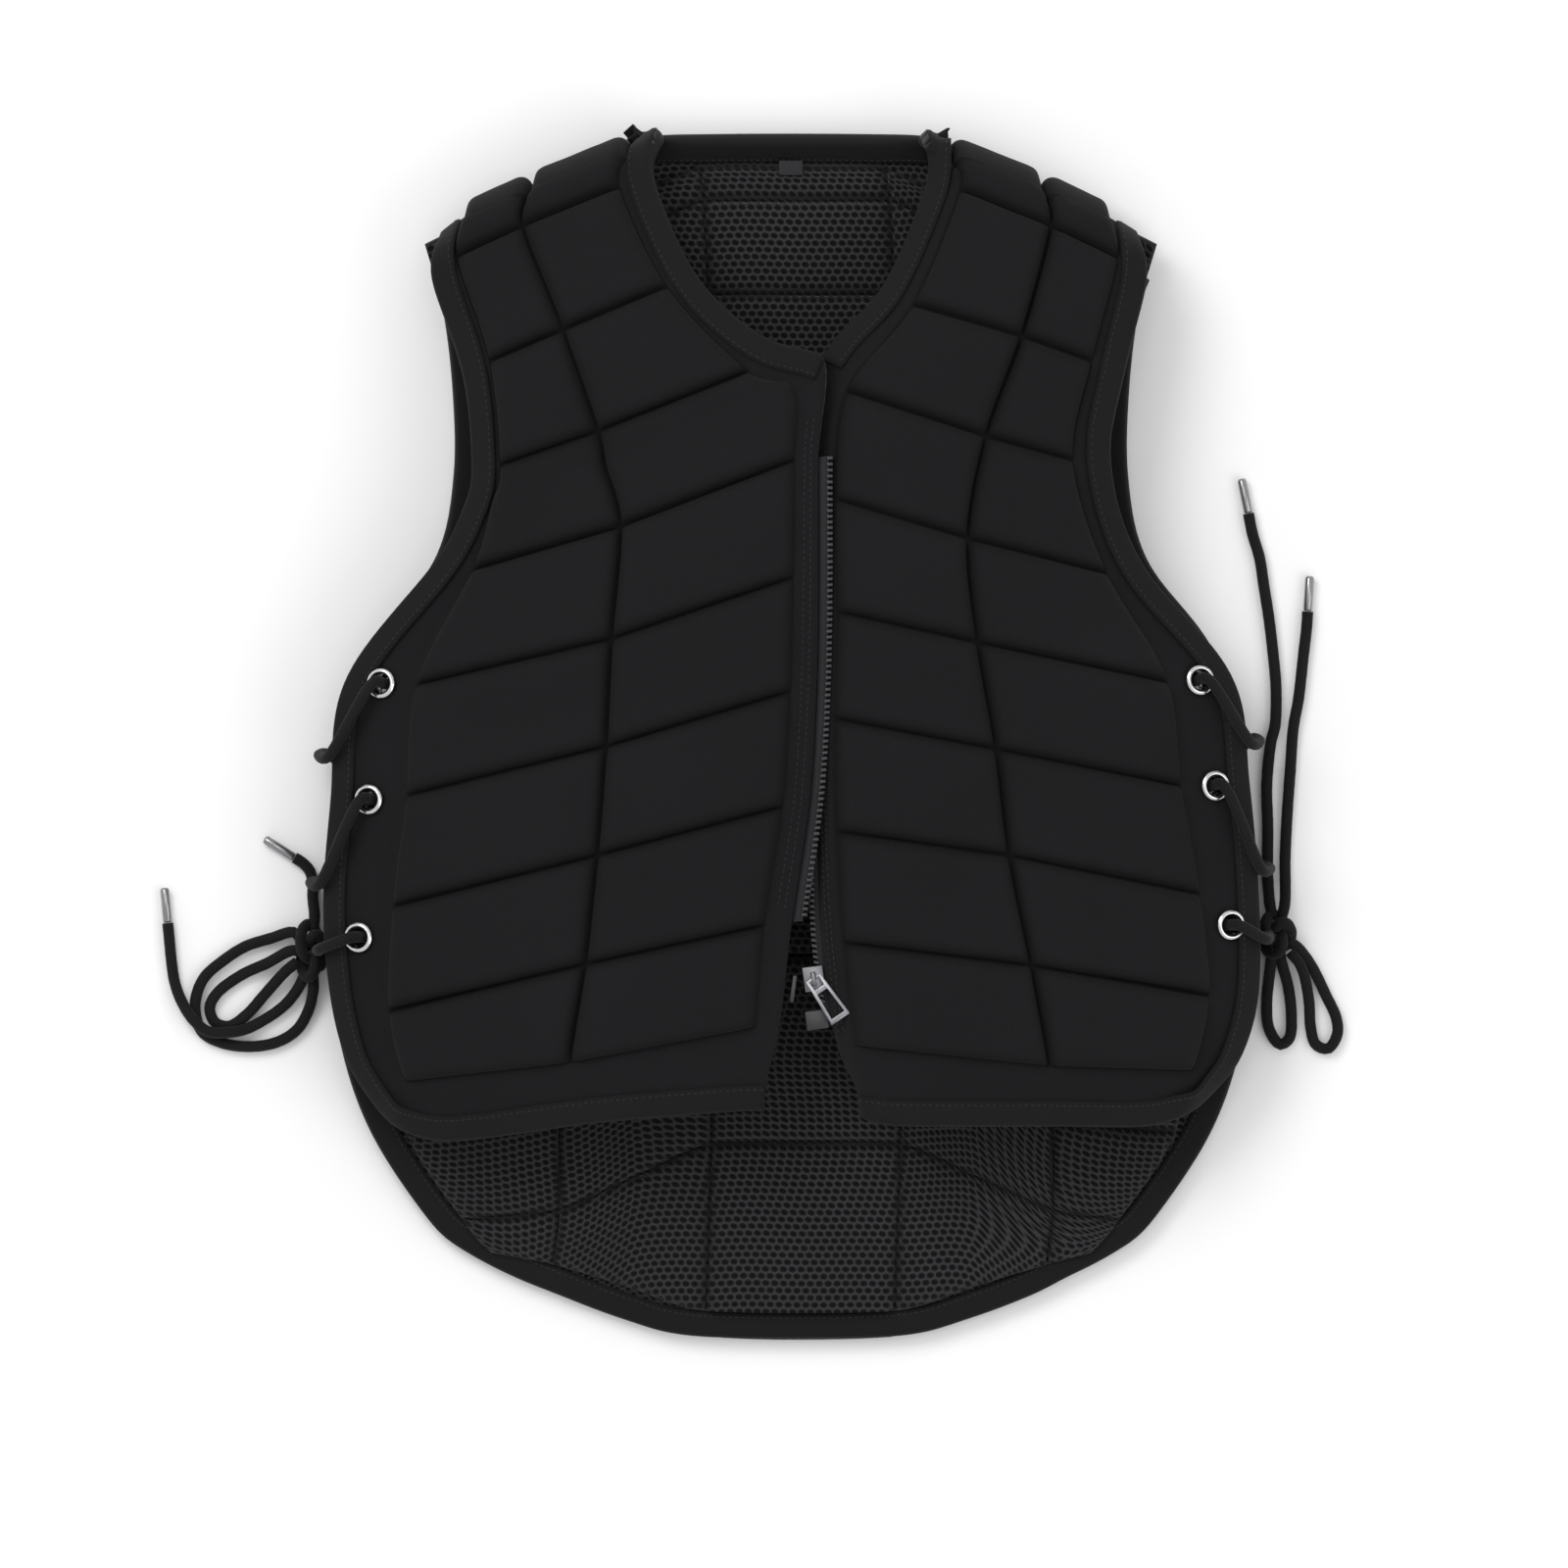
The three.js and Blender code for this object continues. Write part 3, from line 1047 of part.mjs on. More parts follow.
// The middle of the vest without its free laces goes over the origin
const vest = new THREE.Box3();
group.updateMatrixWorld(true);
group.traverse((mesh) => {
  if (mesh.isMesh && !/^lace_(loop|tail|aglet|knot)/.test(mesh.name)) vest.expandByObject(mesh, true);
});
const centre = vest.getCenter(new THREE.Vector3());
group.position.set(-centre.x, -centre.y, -vest.min.z);

export default group;
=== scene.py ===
# %% [markdown]
# # A riding body protector on its back
#
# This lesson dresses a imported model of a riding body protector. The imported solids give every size
# and place, and each piece made here takes the place of one of them. Everything is in metres: +Y
# points to the neck, +Z goes up through the fronts, and the vest lies on the floor at height zero.

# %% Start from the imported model
import math

import bmesh
import bpy
import numpy as np
from mathutils import Matrix, Vector, noise


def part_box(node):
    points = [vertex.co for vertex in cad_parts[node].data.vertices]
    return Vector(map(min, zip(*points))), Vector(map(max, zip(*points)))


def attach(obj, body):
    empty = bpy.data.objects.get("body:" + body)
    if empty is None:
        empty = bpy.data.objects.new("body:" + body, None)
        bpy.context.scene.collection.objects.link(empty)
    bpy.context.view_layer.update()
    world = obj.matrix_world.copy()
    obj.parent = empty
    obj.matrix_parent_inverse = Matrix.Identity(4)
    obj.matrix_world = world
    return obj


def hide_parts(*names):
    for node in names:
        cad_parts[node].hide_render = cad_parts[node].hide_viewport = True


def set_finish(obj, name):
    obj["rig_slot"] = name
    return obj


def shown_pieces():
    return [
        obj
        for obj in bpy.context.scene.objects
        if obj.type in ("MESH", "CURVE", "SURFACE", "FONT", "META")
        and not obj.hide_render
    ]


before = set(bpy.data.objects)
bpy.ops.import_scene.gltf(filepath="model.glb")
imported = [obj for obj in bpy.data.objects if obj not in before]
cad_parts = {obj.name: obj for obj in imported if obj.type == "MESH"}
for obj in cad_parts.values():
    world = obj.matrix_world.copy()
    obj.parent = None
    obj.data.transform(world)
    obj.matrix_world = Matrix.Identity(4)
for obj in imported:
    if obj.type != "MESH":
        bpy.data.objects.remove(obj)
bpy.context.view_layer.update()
VEST, PULL = "vest", "pull"
MM = 0.001
print("nodes loaded:", len(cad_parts))

# %% [markdown]
# The photograph looks straight down at the vest. A long lens high above the floor sees it the same
# way, almost without perspective. The frame is square and 768 mm wide where the floor is.

# %% Camera
FRAME_WIDTH = 0.768
CAMERA_HEIGHT = 6.0
CAMERA_CENTRE = (-0.0032, -0.0254)
SENSOR = 36.0
camera_data = bpy.data.cameras.new("camera")
camera_data.sensor_width = SENSOR
camera_data.lens = SENSOR * CAMERA_HEIGHT / FRAME_WIDTH
camera_data.clip_end = 4 * CAMERA_HEIGHT
camera = bpy.data.objects.new("camera", camera_data)
camera.location = (*CAMERA_CENTRE, CAMERA_HEIGHT)
bpy.context.scene.collection.objects.link(camera)
bpy.context.scene.camera = camera
print("lens:", round(camera_data.lens), "mm")

# %% [markdown]
# Small helpers come first. A finished piece is an object at the origin whose place is in its mesh,
# so the helper makes the object, rides it on its body and names what it stands for.

# %% Helpers for pieces
SHIFT = np.array([0.136, 1.05, 0.0])  # from the middle of the tables to the middle of the box, mm


def add_piece(name, mesh_data, materials, body=VEST, replaces=(), slot=None):
    """Links a piece to the scene and says what it stands for."""
    piece = bpy.data.objects.new(name, mesh_data)
    bpy.context.scene.collection.objects.link(piece)
    for material in materials:
        mesh_data.materials.append(material)
    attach(piece, body)
    if replaces:
        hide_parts(*replaces)
    if slot:
        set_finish(piece, slot)
    return piece


def to_mesh(bm, name, smooth=True):
    """Turns a bmesh into mesh data, with its faces shaded smooth."""
    for face in bm.faces:
        face.smooth = smooth
    data = bpy.data.meshes.new(name)
    bm.to_mesh(data)
    bm.free()
    return data


def unit(vectors):
    """Vectors of length one, along the last axis."""
    return vectors / np.maximum(np.linalg.norm(vectors, axis=-1, keepdims=True), 1e-12)


def resample(points, spacing):
    """Evenly spaced points along a line of points, with the share of the way of each."""
    steps = np.linalg.norm(np.diff(points, axis=0), axis=1)
    travelled = np.concatenate([[0], np.cumsum(steps)])
    count = max(2, int(round(travelled[-1] / spacing)) + 1)
    wanted = np.linspace(0, travelled[-1], count)
    even = np.stack([np.interp(wanted, travelled, points[:, k]) for k in range(3)], axis=1)
    return even, wanted


def smooth_line(points, passes):
    """Evens out a line of points and keeps its ends."""
    line = points.copy()
    for _ in range(passes):
        line[1:-1] = (line[:-2] + 2 * line[1:-1] + line[2:]) / 4
    return line


def catmull(points, per_span):
    """Centripetal curve through points, as the solids' cords have it."""
    padded = np.vstack([2 * points[0] - points[1], points, 2 * points[-1] - points[-2]])
    out = []
    for a, b, c, d in zip(padded, padded[1:], padded[2:], padded[3:]):
        knots = np.cumsum([0, *(np.sqrt(np.linalg.norm(q - p)) for p, q in ((a, b), (b, c), (c, d)))])
        for t in np.linspace(knots[1], knots[2], per_span, endpoint=False):
            def mix(p, q, i, j):
                return ((knots[j] - t) * p + (t - knots[i]) * q) / (knots[j] - knots[i])
            ab, bc, cd = mix(a, b, 0, 1), mix(b, c, 1, 2), mix(c, d, 2, 3)
            out.append(mix(mix(ab, bc, 0, 2), mix(bc, cd, 1, 3), 1, 2))
    return np.array([*out, points[-1]])


# %% [markdown]
# A swept piece is a row of rings joined by the bridge operator. Cords, bands, tapes and rims are all
# made so: each ring is one cross section, placed along a line. The ring's place along the line and
# round the section is kept as a UV map, in metres, so that a weave or braid can follow the piece.

# %% Sweep


def sweep(rings, along, closed_ends=True, section=None):
    """Bridges rings of points into one closed skin with a UV map in metres."""
    bm = bmesh.new()
    uv = bm.loops.layers.uv.new("UVMap")
    place = bm.verts.layers.float_vector.new("place")
    count = len(rings[0])
    if section is None:
        lengths = np.linalg.norm(rings[0] - np.roll(rings[0], 1, axis=0), axis=1)
        section = np.cumsum(lengths) - lengths[0]
    previous = None
    for ring, travelled in zip(rings, along):
        verts = [bm.verts.new(Vector(p)) for p in ring]
        for vert, round_ in zip(verts, section):
            vert[place] = (travelled, round_, 0)
        edges = [bm.edges.new((verts[k], verts[(k + 1) % count])) for k in range(count)]
        if previous is not None:
            bmesh.ops.bridge_loops(bm, edges=previous + edges)
        elif closed_ends:
            bm.faces.new(verts)
        previous = edges
    if closed_ends:
        bm.faces.new([e.verts[0] for e in previous])
    bmesh.ops.recalc_face_normals(bm, faces=bm.faces)
    perimeter = section[-1] + section[1]
    for face in bm.faces:
        rounds = [loop.vert[place].y for loop in face.loops]
        wraps = max(rounds) - min(rounds) > perimeter / 2
        for loop in face.loops:
            spot = loop.vert[place]
            lifted = perimeter if wraps and spot.y < perimeter / 2 else 0
            loop[uv].uv = (spot.x, spot.y + lifted)
    return bm

# %% [markdown]
# The side laces end in bows. Their loops and tails are free cords that lie on the floor, so they come
# first: a thin cord with a braided cover, 5.5 mm thick. Each route is the one that the solid follows,
# with a short hidden piece that runs on into the knot.

# %% Free cords
LACE = 0.0055
FLOOR = 3.15  # height of a cord's middle where it lies on the floor, mm
LIFT = 9.05  # and where it lies over another strand
LACE_ROUTES = {
    "lace_loop_left_1": [
        (-243, -99, 8), (-254.5, -102, 4), (-267, -106, FLOOR), (-278, -113, FLOOR),
        (-287, -121, FLOOR), (-291, -130, FLOOR), (-291.5, -139, FLOOR), (-288, -148, FLOOR),
        (-279, -153, FLOOR), (-266, -155, FLOOR), (-252, -153, FLOOR), (-242, -147, FLOOR),
        (-236, -137, 4.5), (-233.5, -126, 8),
    ],
    "lace_loop_left_2": [
        (-244.5, -108, 9), (-256, -114, 6), (-269, -120, FLOOR), (-281, -129, FLOOR),
        (-284.5, -136, FLOOR), (-282, -143, FLOOR), (-275, -145, FLOOR), (-266, -139, FLOOR),
        (-258, -130, FLOOR), (-247, -118, 8),
    ],
    "lace_tail_left_1": [
        (-239.5, -123.5, 6.5), (-247, -134, 4), (-258, -142, FLOOR), (-267, -146.5, 5),
        (-276, -148, LIFT), (-285, -147.5, LIFT), (-292, -142, LIFT), (-298, -133, 6),
        (-301.5, -124, FLOOR), (-303, -115, FLOOR), (-304, -105, FLOOR), (-305, -94.5, FLOOR),
    ],
    "lace_tail_left_2": [
        (-233, -91, 7), (-234, -82, 4), (-234, -75, FLOOR), (-235.5, -69, FLOOR),
        (-239, -65, FLOOR), (-243, -62.5, FLOOR),
    ],
    "lace_loop_right_1": [
        (235, -113, 8), (234, -122, 4), (233, -133, FLOOR), (234, -146, FLOOR),
        (239.5, -154, FLOOR), (244, -151, FLOOR), (245, -139, FLOOR), (243.5, -126, 4.5),
        (240, -113.5, 8),
    ],
    "lace_loop_right_2": [
        (247.5, -106, 8), (254.5, -115, 5), (262, -130, FLOOR), (267, -141, FLOOR),
        (267.5, -149, FLOOR), (263, -156, FLOOR), (257, -154, FLOOR), (254.5, -146, FLOOR),
        (253.5, -132, 4.5), (249.5, -115.5, 9),
    ],
    "lace_tail_right_1": [
        (234.5, -86.5, 8), (233.5, -72, FLOOR), (233.5, -48, FLOOR), (233, -27, FLOOR),
        (235, -6, FLOOR), (237, 2, FLOOR), (237.5, 21, FLOOR), (236, 38, FLOOR),
        (234, 55, FLOOR), (231.5, 71, FLOOR), (229.5, 84, FLOOR), (226, 96, FLOOR),
        (224, 106, FLOOR),
    ],
    "lace_tail_right_2": [
        (241.5, -86, 8), (242, -62, FLOOR), (243, -41, FLOOR), (244.5, -20, FLOOR),
        (246, 1, FLOOR), (248.5, 15, FLOOR), (251, 37, FLOOR), (252.5, 50, FLOOR), (253, 58, FLOOR),
    ],
}
# The lengths that the photograph shows; the part hidden in the knot is added below
LACE_LENGTHS = {
    "lace_loop_left_1": 0.152, "lace_loop_left_2": 0.105, "lace_tail_left_1": 0.116,
    "lace_tail_left_2": 0.033, "lace_loop_right_1": 0.088, "lace_loop_right_2": 0.104,
    "lace_tail_right_1": 0.195, "lace_tail_right_2": 0.145,
}
CORD_SIDES = 14
# middle and half sizes of each knot, and how far towards the middle a cord's hidden start lies
KNOTS = {"left": ((-234.5, -108, 9.2), (9.2, 16.5, 9)), "right": ((237.5, -100, 9.2), (10, 13, 9))}
KNOT_DEPTH = 0.45


def cord_rings(centres, radius, sides=CORD_SIDES, dent=0.0):
    """Round cross sections along a line, carried along it without a twist."""
    tangents = unit(np.gradient(centres, axis=0))
    side = np.cross(tangents[0], [0, 0, 1.0])
    if np.linalg.norm(side) < 0.1:
        side = np.cross(tangents[0], [1.0, 0, 0])
    rings = []
    angles = np.linspace(0, 2 * np.pi, sides, endpoint=False)
    for k, (centre, tangent) in enumerate(zip(centres, tangents)):
        side = unit(side - tangent * np.dot(side, tangent))
        up = np.cross(tangent, side)
        wobble = 1 + dent * np.sin(2.1 * k + 0.6 * np.sin(k))
        circle = np.outer(np.cos(angles), side) + np.outer(np.sin(angles), up)
        rings.append(centre + circle * radius * wobble)
    return rings


def cord_mesh(name, points_mm, per_span=10):
    """A cord's skin along a route in the tables' millimetres, with its centreline in metres."""
    line = (catmull(np.array(points_mm, float), per_span) + SHIFT) * MM
    centres, travelled = resample(line, 0.002)
    rings = [np.maximum(ring, [-9, -9, 0.0]) for ring in cord_rings(centres, LACE / 2, dent=0.012)]
    return to_mesh(sweep(rings, travelled), name), centres


def into_knot(name, route):
    """The route with its hidden start, and a loop's hidden end, inside the knot."""
    middle = np.array(KNOTS["left" if "left" in name else "right"][0])
    points = np.array(route, float)
    start = points[0] + (middle - points[0]) * KNOT_DEPTH
    ends = [points[-1] + (middle - points[-1]) * KNOT_DEPTH] if "loop" in name else []
    return [start, *points, *ends]


for name, route in LACE_ROUTES.items():
    inside = into_knot(name, route)
    data, centres = cord_mesh(name, inside)
    LACE_LENGTHS[name] += float(np.linalg.norm(inside[1] - inside[0])) * MM
    if "loop" in name:
        LACE_LENGTHS[name] += float(np.linalg.norm(inside[-1] - inside[-2])) * MM
    print(name, round(LACE_LENGTHS[name], 3), "m")
    add_piece("cord_" + name, data, [], replaces=[name], slot="lace_cord")

# %% [markdown]
# The vest is three quilted sheets. Each table row is one stitched line across a panel, and each
# column is a stitched line down it, the same numbers that shape the solids. A point of a sheet is
# found from a column number u and a row number v, so a fine grid over (u, v) gives the real outline.

# %% Quilt tables
HALF_WIDTH, LENGTH = 225.0, 597.0  # mm, as are all sizes of the sheets
CHEST_HEIGHT, SIDE_HEIGHT, BACK_CURL = 88.0, 38.0, 18.5
FOLD_RADIUS, SEAM_ANGLE, FOLD_ANGLES, FOLD_LEAN = 20.0, 30.0, (10.0, 50.0), 0.3
ARCH_POWER, CURL_START = 0.9, 0.55
PAD_THICKNESS, EDGE_THICKNESS = 18.0, 5.0
RIGHT_DROP, OVERLAP_DROP = 2.0, 8.0
# kind, inner edge, tile start, column line, tile end, outer edge, zip, side
LEFT_FRONT = [
    ("line", -0.311, 0.045, -0.366, 0.060, -0.577, 0.092, -0.723, 0.117, -0.770, 0.131, 0.557, 1.289),
    ("line", -0.207, 0.136, -0.262, 0.142, -0.488, 0.177, -0.649, 0.202, -0.696, 0.214, 0.750, 1.470),
    ("line", -0.044, 0.190, -0.085, 0.211, -0.412, 0.259, -0.626, 0.286, -0.677, 0.294, 0.886, 1.520),
    ("pad", 0.070, 0.201, 0.011, 0.226, -0.395, 0.288, -0.643, 0.316, -0.693, 0.317, 0.930, 1.480),
    ("line", 0.059, 0.280, 0.011, 0.282, -0.362, 0.336, -0.685, 0.371, -0.751, 0.362, 0.966, 1.370),
    ("line", 0.059, 0.374, 0.008, 0.377, -0.381, 0.427, -0.805, 0.464, -0.953, 0.461, 0.989, 1.070),
    ("line", 0.055, 0.466, 0.002, 0.469, -0.393, 0.514, -0.827, 0.554, -0.983, 0.556, 1.000, 0.980),
    ("line", 0.040, 0.558, -0.015, 0.562, -0.412, 0.602, -0.856, 0.644, -1.000, 0.644, 0.989, 0.970),
    ("line", 0.002, 0.656, -0.055, 0.658, -0.438, 0.690, -0.865, 0.729, -0.983, 0.720, 0.966, 0.970),
    ("flat", -0.023, 0.736, -0.074, 0.742, -0.471, 0.771, -0.829, 0.787, -0.949, 0.768, 0.932, 1.000),
    ("flat", -0.053, 0.786, -0.091, 0.786, -0.448, 0.795, -0.776, 0.806, -0.907, 0.794, 0.909, 1.030),
    ("flat", -0.057, 0.806, -0.108, 0.806, -0.416, 0.816, -0.742, 0.832, -0.856, 0.818, 0.898, 1.050),
]
RIGHT_FRONT = [
    ("line", 0.313, 0.046, 0.362, 0.062, 0.560, 0.092, 0.708, 0.118, 0.763, 0.131, 0.557, 1.289),
    ("line", 0.207, 0.144, 0.258, 0.157, 0.495, 0.182, 0.649, 0.202, 0.708, 0.214, 0.750, 1.470),
    ("line", 0.074, 0.202, 0.116, 0.227, 0.416, 0.263, 0.607, 0.282, 0.679, 0.283, 0.886, 1.520),
    ("line", 0.066, 0.310, 0.093, 0.314, 0.376, 0.346, 0.679, 0.374, 0.746, 0.366, 0.955, 1.370),
    ("line", 0.066, 0.402, 0.097, 0.405, 0.397, 0.430, 0.810, 0.462, 0.943, 0.458, 0.989, 1.070),
    ("line", 0.062, 0.490, 0.091, 0.491, 0.436, 0.516, 0.839, 0.546, 0.979, 0.542, 1.000, 0.980),
    ("line", 0.066, 0.581, 0.095, 0.582, 0.465, 0.602, 0.880, 0.634, 1.000, 0.634, 0.989, 0.970),
    ("line", 0.074, 0.670, 0.110, 0.672, 0.512, 0.691, 0.900, 0.716, 1.000, 0.716, 0.966, 0.970),
    ("flat", 0.104, 0.750, 0.140, 0.757, 0.552, 0.774, 0.863, 0.778, 0.962, 0.765, 0.932, 1.000),
    ("flat", 0.150, 0.790, 0.190, 0.795, 0.554, 0.798, 0.810, 0.797, 0.915, 0.787, 0.909, 1.030),
    ("flat", 0.167, 0.811, 0.207, 0.818, 0.554, 0.819, 0.784, 0.819, 0.873, 0.803, 0.898, 1.050),
]
# kind, outer edge, outer column, neck corner, inner column, middle, band, mid, side
BACK_HALF = [
    ("flat", 0.793, 0.104, 0.597, 0.067, 0.334, 0.021, 0.201, 0.018, -0.005, 0.060, 1.06, 1.03),
    ("flat", 0.771, 0.131, 0.579, 0.098, 0.330, 0.056, 0.200, 0.036, 0.000, 0.060, 0.60, 0.70),
    ("line", 0.748, 0.154, 0.545, 0.118, 0.370, 0.092, 0.203, 0.066, 0.012, 0.060, 0.50, 0.70),
    ("line", 0.727, 0.218, 0.538, 0.198, 0.370, 0.171, 0.203, 0.144, 0.022, 0.060, 0.50, 0.70),
    ("line", 0.724, 0.293, 0.535, 0.275, 0.370, 0.248, 0.205, 0.221, 0.030, 0.060, 0.50, 0.76),
    ("line", 0.766, 0.363, 0.535, 0.352, 0.370, 0.325, 0.206, 0.298, 0.032, 0.075, 0.50, 0.85),
    ("line", 0.911, 0.437, 0.535, 0.430, 0.370, 0.402, 0.206, 0.375, 0.032, 0.130, 0.50, 0.98),
    ("line", 0.972, 0.520, 0.535, 0.506, 0.370, 0.479, 0.206, 0.452, 0.032, 0.150, 0.50, 1.00),
    ("line", 0.990, 0.600, 0.535, 0.584, 0.370, 0.557, 0.206, 0.530, 0.032, 0.150, 0.50, 1.00),
    ("line", 0.994, 0.676, 0.535, 0.661, 0.370, 0.634, 0.206, 0.607, 0.032, 0.150, 0.50, 1.00),
    ("line", 0.970, 0.756, 0.535, 0.738, 0.370, 0.711, 0.206, 0.684, 0.032, 0.110, 0.50, 0.86),
    ("line", 0.903, 0.830, 0.535, 0.820, 0.370, 0.790, 0.206, 0.761, 0.032, 0.065, 0.50, 0.54),
    ("line", 0.774, 0.903, 0.535, 0.893, 0.370, 0.865, 0.206, 0.838, 0.032, 0.060, 0.50, 0.38),
    ("flat", 0.710, 0.923, 0.535, 0.938, 0.370, 0.957, 0.206, 0.976, 0.020, 0.060, 0.38, 0.35),
    ("flat", 0.640, 0.938, 0.525, 0.958, 0.370, 0.980, 0.206, 0.994, 0.010, 0.060, 0.34, 0.34),
]
FOLD_ROWS = 3
FIRST_LONG_ROW = 4
print("table rows:", len(LEFT_FRONT), len(RIGHT_FRONT), len(BACK_HALF))

# %% [markdown]
# A sheet knows its middle surface and how thick it is at each place. The foam blocks are flat on top
# with soft edges, and the two covers meet in a narrow channel at each stitched line. The thickness
# therefore rises quickly beside a line and then stays level. Both directions are multiplied, which
# rounds the corners of a block. Where a panel has no foam, only the covers are left.

# %% Sheet surfaces
CHANNEL_FLOOR = 0.7  # half of the flat bottom of a channel, mm
BLOCK_EDGE = 7.5  # width of a block's rounded edge, mm
CHANNEL_OUTSIDE, CHANNEL_INSIDE = 2.3, 5.6


def front_rows(table):
    """Rows of a front in mm, with the rows that bend over the shoulder put first."""
    rows = []
    for kind, *n in table:
        across = np.array(n[0:10:2]) * HALF_WIDTH
        along = (0.5 - np.array(n[1:10:2])) * LENGTH
        rows.append((kind, across, along, n[10] * CHEST_HEIGHT, n[11] * SIDE_HEIGHT))
    _, across, along, *_ = rows[0]
    lean = math.copysign(FOLD_LEAN, across[2])
    bends = []
    for angle in (-SEAM_ANGLE, *FOLD_ANGLES):
        turn = math.radians(angle)
        reach = FOLD_RADIUS * math.cos(turn)
        height = PAD_THICKNESS / 2 + FOLD_RADIUS * (1 + math.sin(turn))
        kind = "pad" if bends else "flat"
        bends.append((kind, across - lean * reach, along + reach, height, height))
    return bends + rows


def back_rows():
    """Rows of the back in mm, both halves, from one side to the other."""
    rows = []
    for kind, *n in BACK_HALF:
        x = np.array(n[0:8:2]) * HALF_WIDTH
        y = (0.5 - np.array(n[1:8:2])) * LENGTH
        middle, band = n[8] * HALF_WIDTH, n[9] * HALF_WIDTH
        band_y = y[0] + (y[1] - y[0]) * band / (x[0] - x[1])
        half = [x[0] - band, x[0]]
        across = np.array([-half[1], -half[0], *(middle - x[1:]), *(middle + x[:0:-1]), *half])
        along = np.array([y[0], band_y, *y[1:], *y[:0:-1], band_y, y[0]])
        rows.append((kind, across, along, n[10] * PAD_THICKNESS, n[11] * BACK_CURL))
    return rows


def spline(values, where):
    """Smooth value between the numbers of a list, at fractional places."""
    values = np.asarray(values, float)
    last = len(values) - 1
    start = np.clip(np.floor(where).astype(int), 0, last - 1)
    a, b, c, d = (values[np.clip(start + k, 0, last)] for k in (-1, 0, 1, 2))
    t = where - start
    return 0.5 * (2 * b + (c - a) * t + (2 * a - 5 * b + 4 * c - d) * t**2
                  + (3 * (b - c) + d - a) * t**3)


class Sheet:
    """Middle surface and thickness of one quilted panel."""

    def __init__(self, rows, columns, height, lining_up, curved_rows):
        self.kinds = [row[0] for row in rows]
        self.across = np.array([row[1] for row in rows])
        self.along = np.array([row[2] for row in rows])
        self.zip = np.array([row[3] for row in rows])
        self.side = np.array([row[4] for row in rows])
        self.columns = columns
        self.height = height
        self.lining_up = lining_up
        self.curved_rows = curved_rows

    def plan(self, u, v):
        """Place in the plane. Rows run straight between columns, and curve near the ends."""
        count = self.across.shape[1]
        at = np.stack([
            np.stack([spline(self.across[:, c], v), spline(self.along[:, c], v)], axis=-1)
            for c in range(count)
        ])
        c0 = np.clip(np.floor(u).astype(int), 0, count - 2)
        share = (u - c0)[..., None]
        index = np.indices(u.shape)
        pick = [at[(np.clip(c0 + k, 0, count - 1), *index)] for k in (-1, 0, 1, 2)]
        straight = pick[1] + (pick[2] - pick[1]) * share
        a, b, c, d = pick
        t = share
        curve = 0.5 * (2 * b + (c - a) * t + (2 * a - 5 * b + 4 * c - d) * t**2
                       + (3 * (b - c) + d - a) * t**3)
        weight = self.curve_weight(v)[..., None]
        return straight + (curve - straight) * weight

    def curve_weight(self, v):
        start, end = self.curved_rows
        last = len(self.kinds) - 1
        tail = np.clip((v - (last - end)) / max(end, 1e-6), 0, 1) if end else 0 * v
        head = np.clip((start - v) / max(start, 1e-6), 0, 1) if start else 0 * v
        return np.maximum(tail, head)

    def middle(self, u, v):
        """Points of the middle surface in the row frame, in mm."""
        flat = self.plan(u, v)
        first = self.plan(np.zeros_like(u), v)
        last = self.plan(np.full_like(u, self.across.shape[1] - 1), v)
        z = self.height(self, flat, first, last, v, u)
        return np.concatenate([flat, z[..., None]], axis=-1) + SHIFT


def front_height(drop, dip):
    def height(sheet, flat, zip_end, side_end, v, u):
        whole = np.linalg.norm(zip_end - side_end, axis=-1)
        share = np.clip(np.linalg.norm(flat - side_end, axis=-1) / whole, 0, 1)
        low, high = spline(sheet.side, v), spline(sheet.zip, v) - drop
        arch = low + (high - low) * np.sin(share * np.pi / 2) ** ARCH_POWER
        below = dip * np.clip(1 - u, 0, 1) * np.clip(v - FOLD_ROWS + 1, 0, 1)
        return arch - below
    return height


def back_height(sheet, flat, first, last, v, u):
    half = (last[..., 0] - first[..., 0]) / 2
    share = np.clip(np.abs(flat[..., 0] - first[..., 0] - half) / half, 0, 1)
    curl = np.clip((share - CURL_START) / (1 - CURL_START), 0, 1) ** 2
    low, high = spline(sheet.zip, v), spline(sheet.side, v)
    return low + (high - low) * curl


FRONT_COLUMNS = ["flat", "flat", "line", "flat", "flat"]
BACK_COLUMNS = ["flat", "flat", "line", "pad", "line", "line", "pad", "line", "flat", "flat"]
sheets = {
    "left": Sheet(front_rows(LEFT_FRONT), FRONT_COLUMNS, front_height(0.0, 0.0), False, (0, 2)),
    "right": Sheet(
        front_rows(RIGHT_FRONT), FRONT_COLUMNS, front_height(RIGHT_DROP, OVERLAP_DROP), False, (0, 2)
    ),
    "back": Sheet(back_rows(), BACK_COLUMNS, back_height, True, (1, 3)),
}
for name, sheet in sheets.items():
    print(name, "rows and columns:", sheet.across.shape)

# %% [markdown]
# A quilt is a flat grid whose points are moved onto its sheet. Grid lines lie close together beside
# the stitched lines, where the surface turns quickly, and far apart on the flat blocks. Extruding the
# whole grid makes the second cover and the side walls in one step.

# %% Grid lines


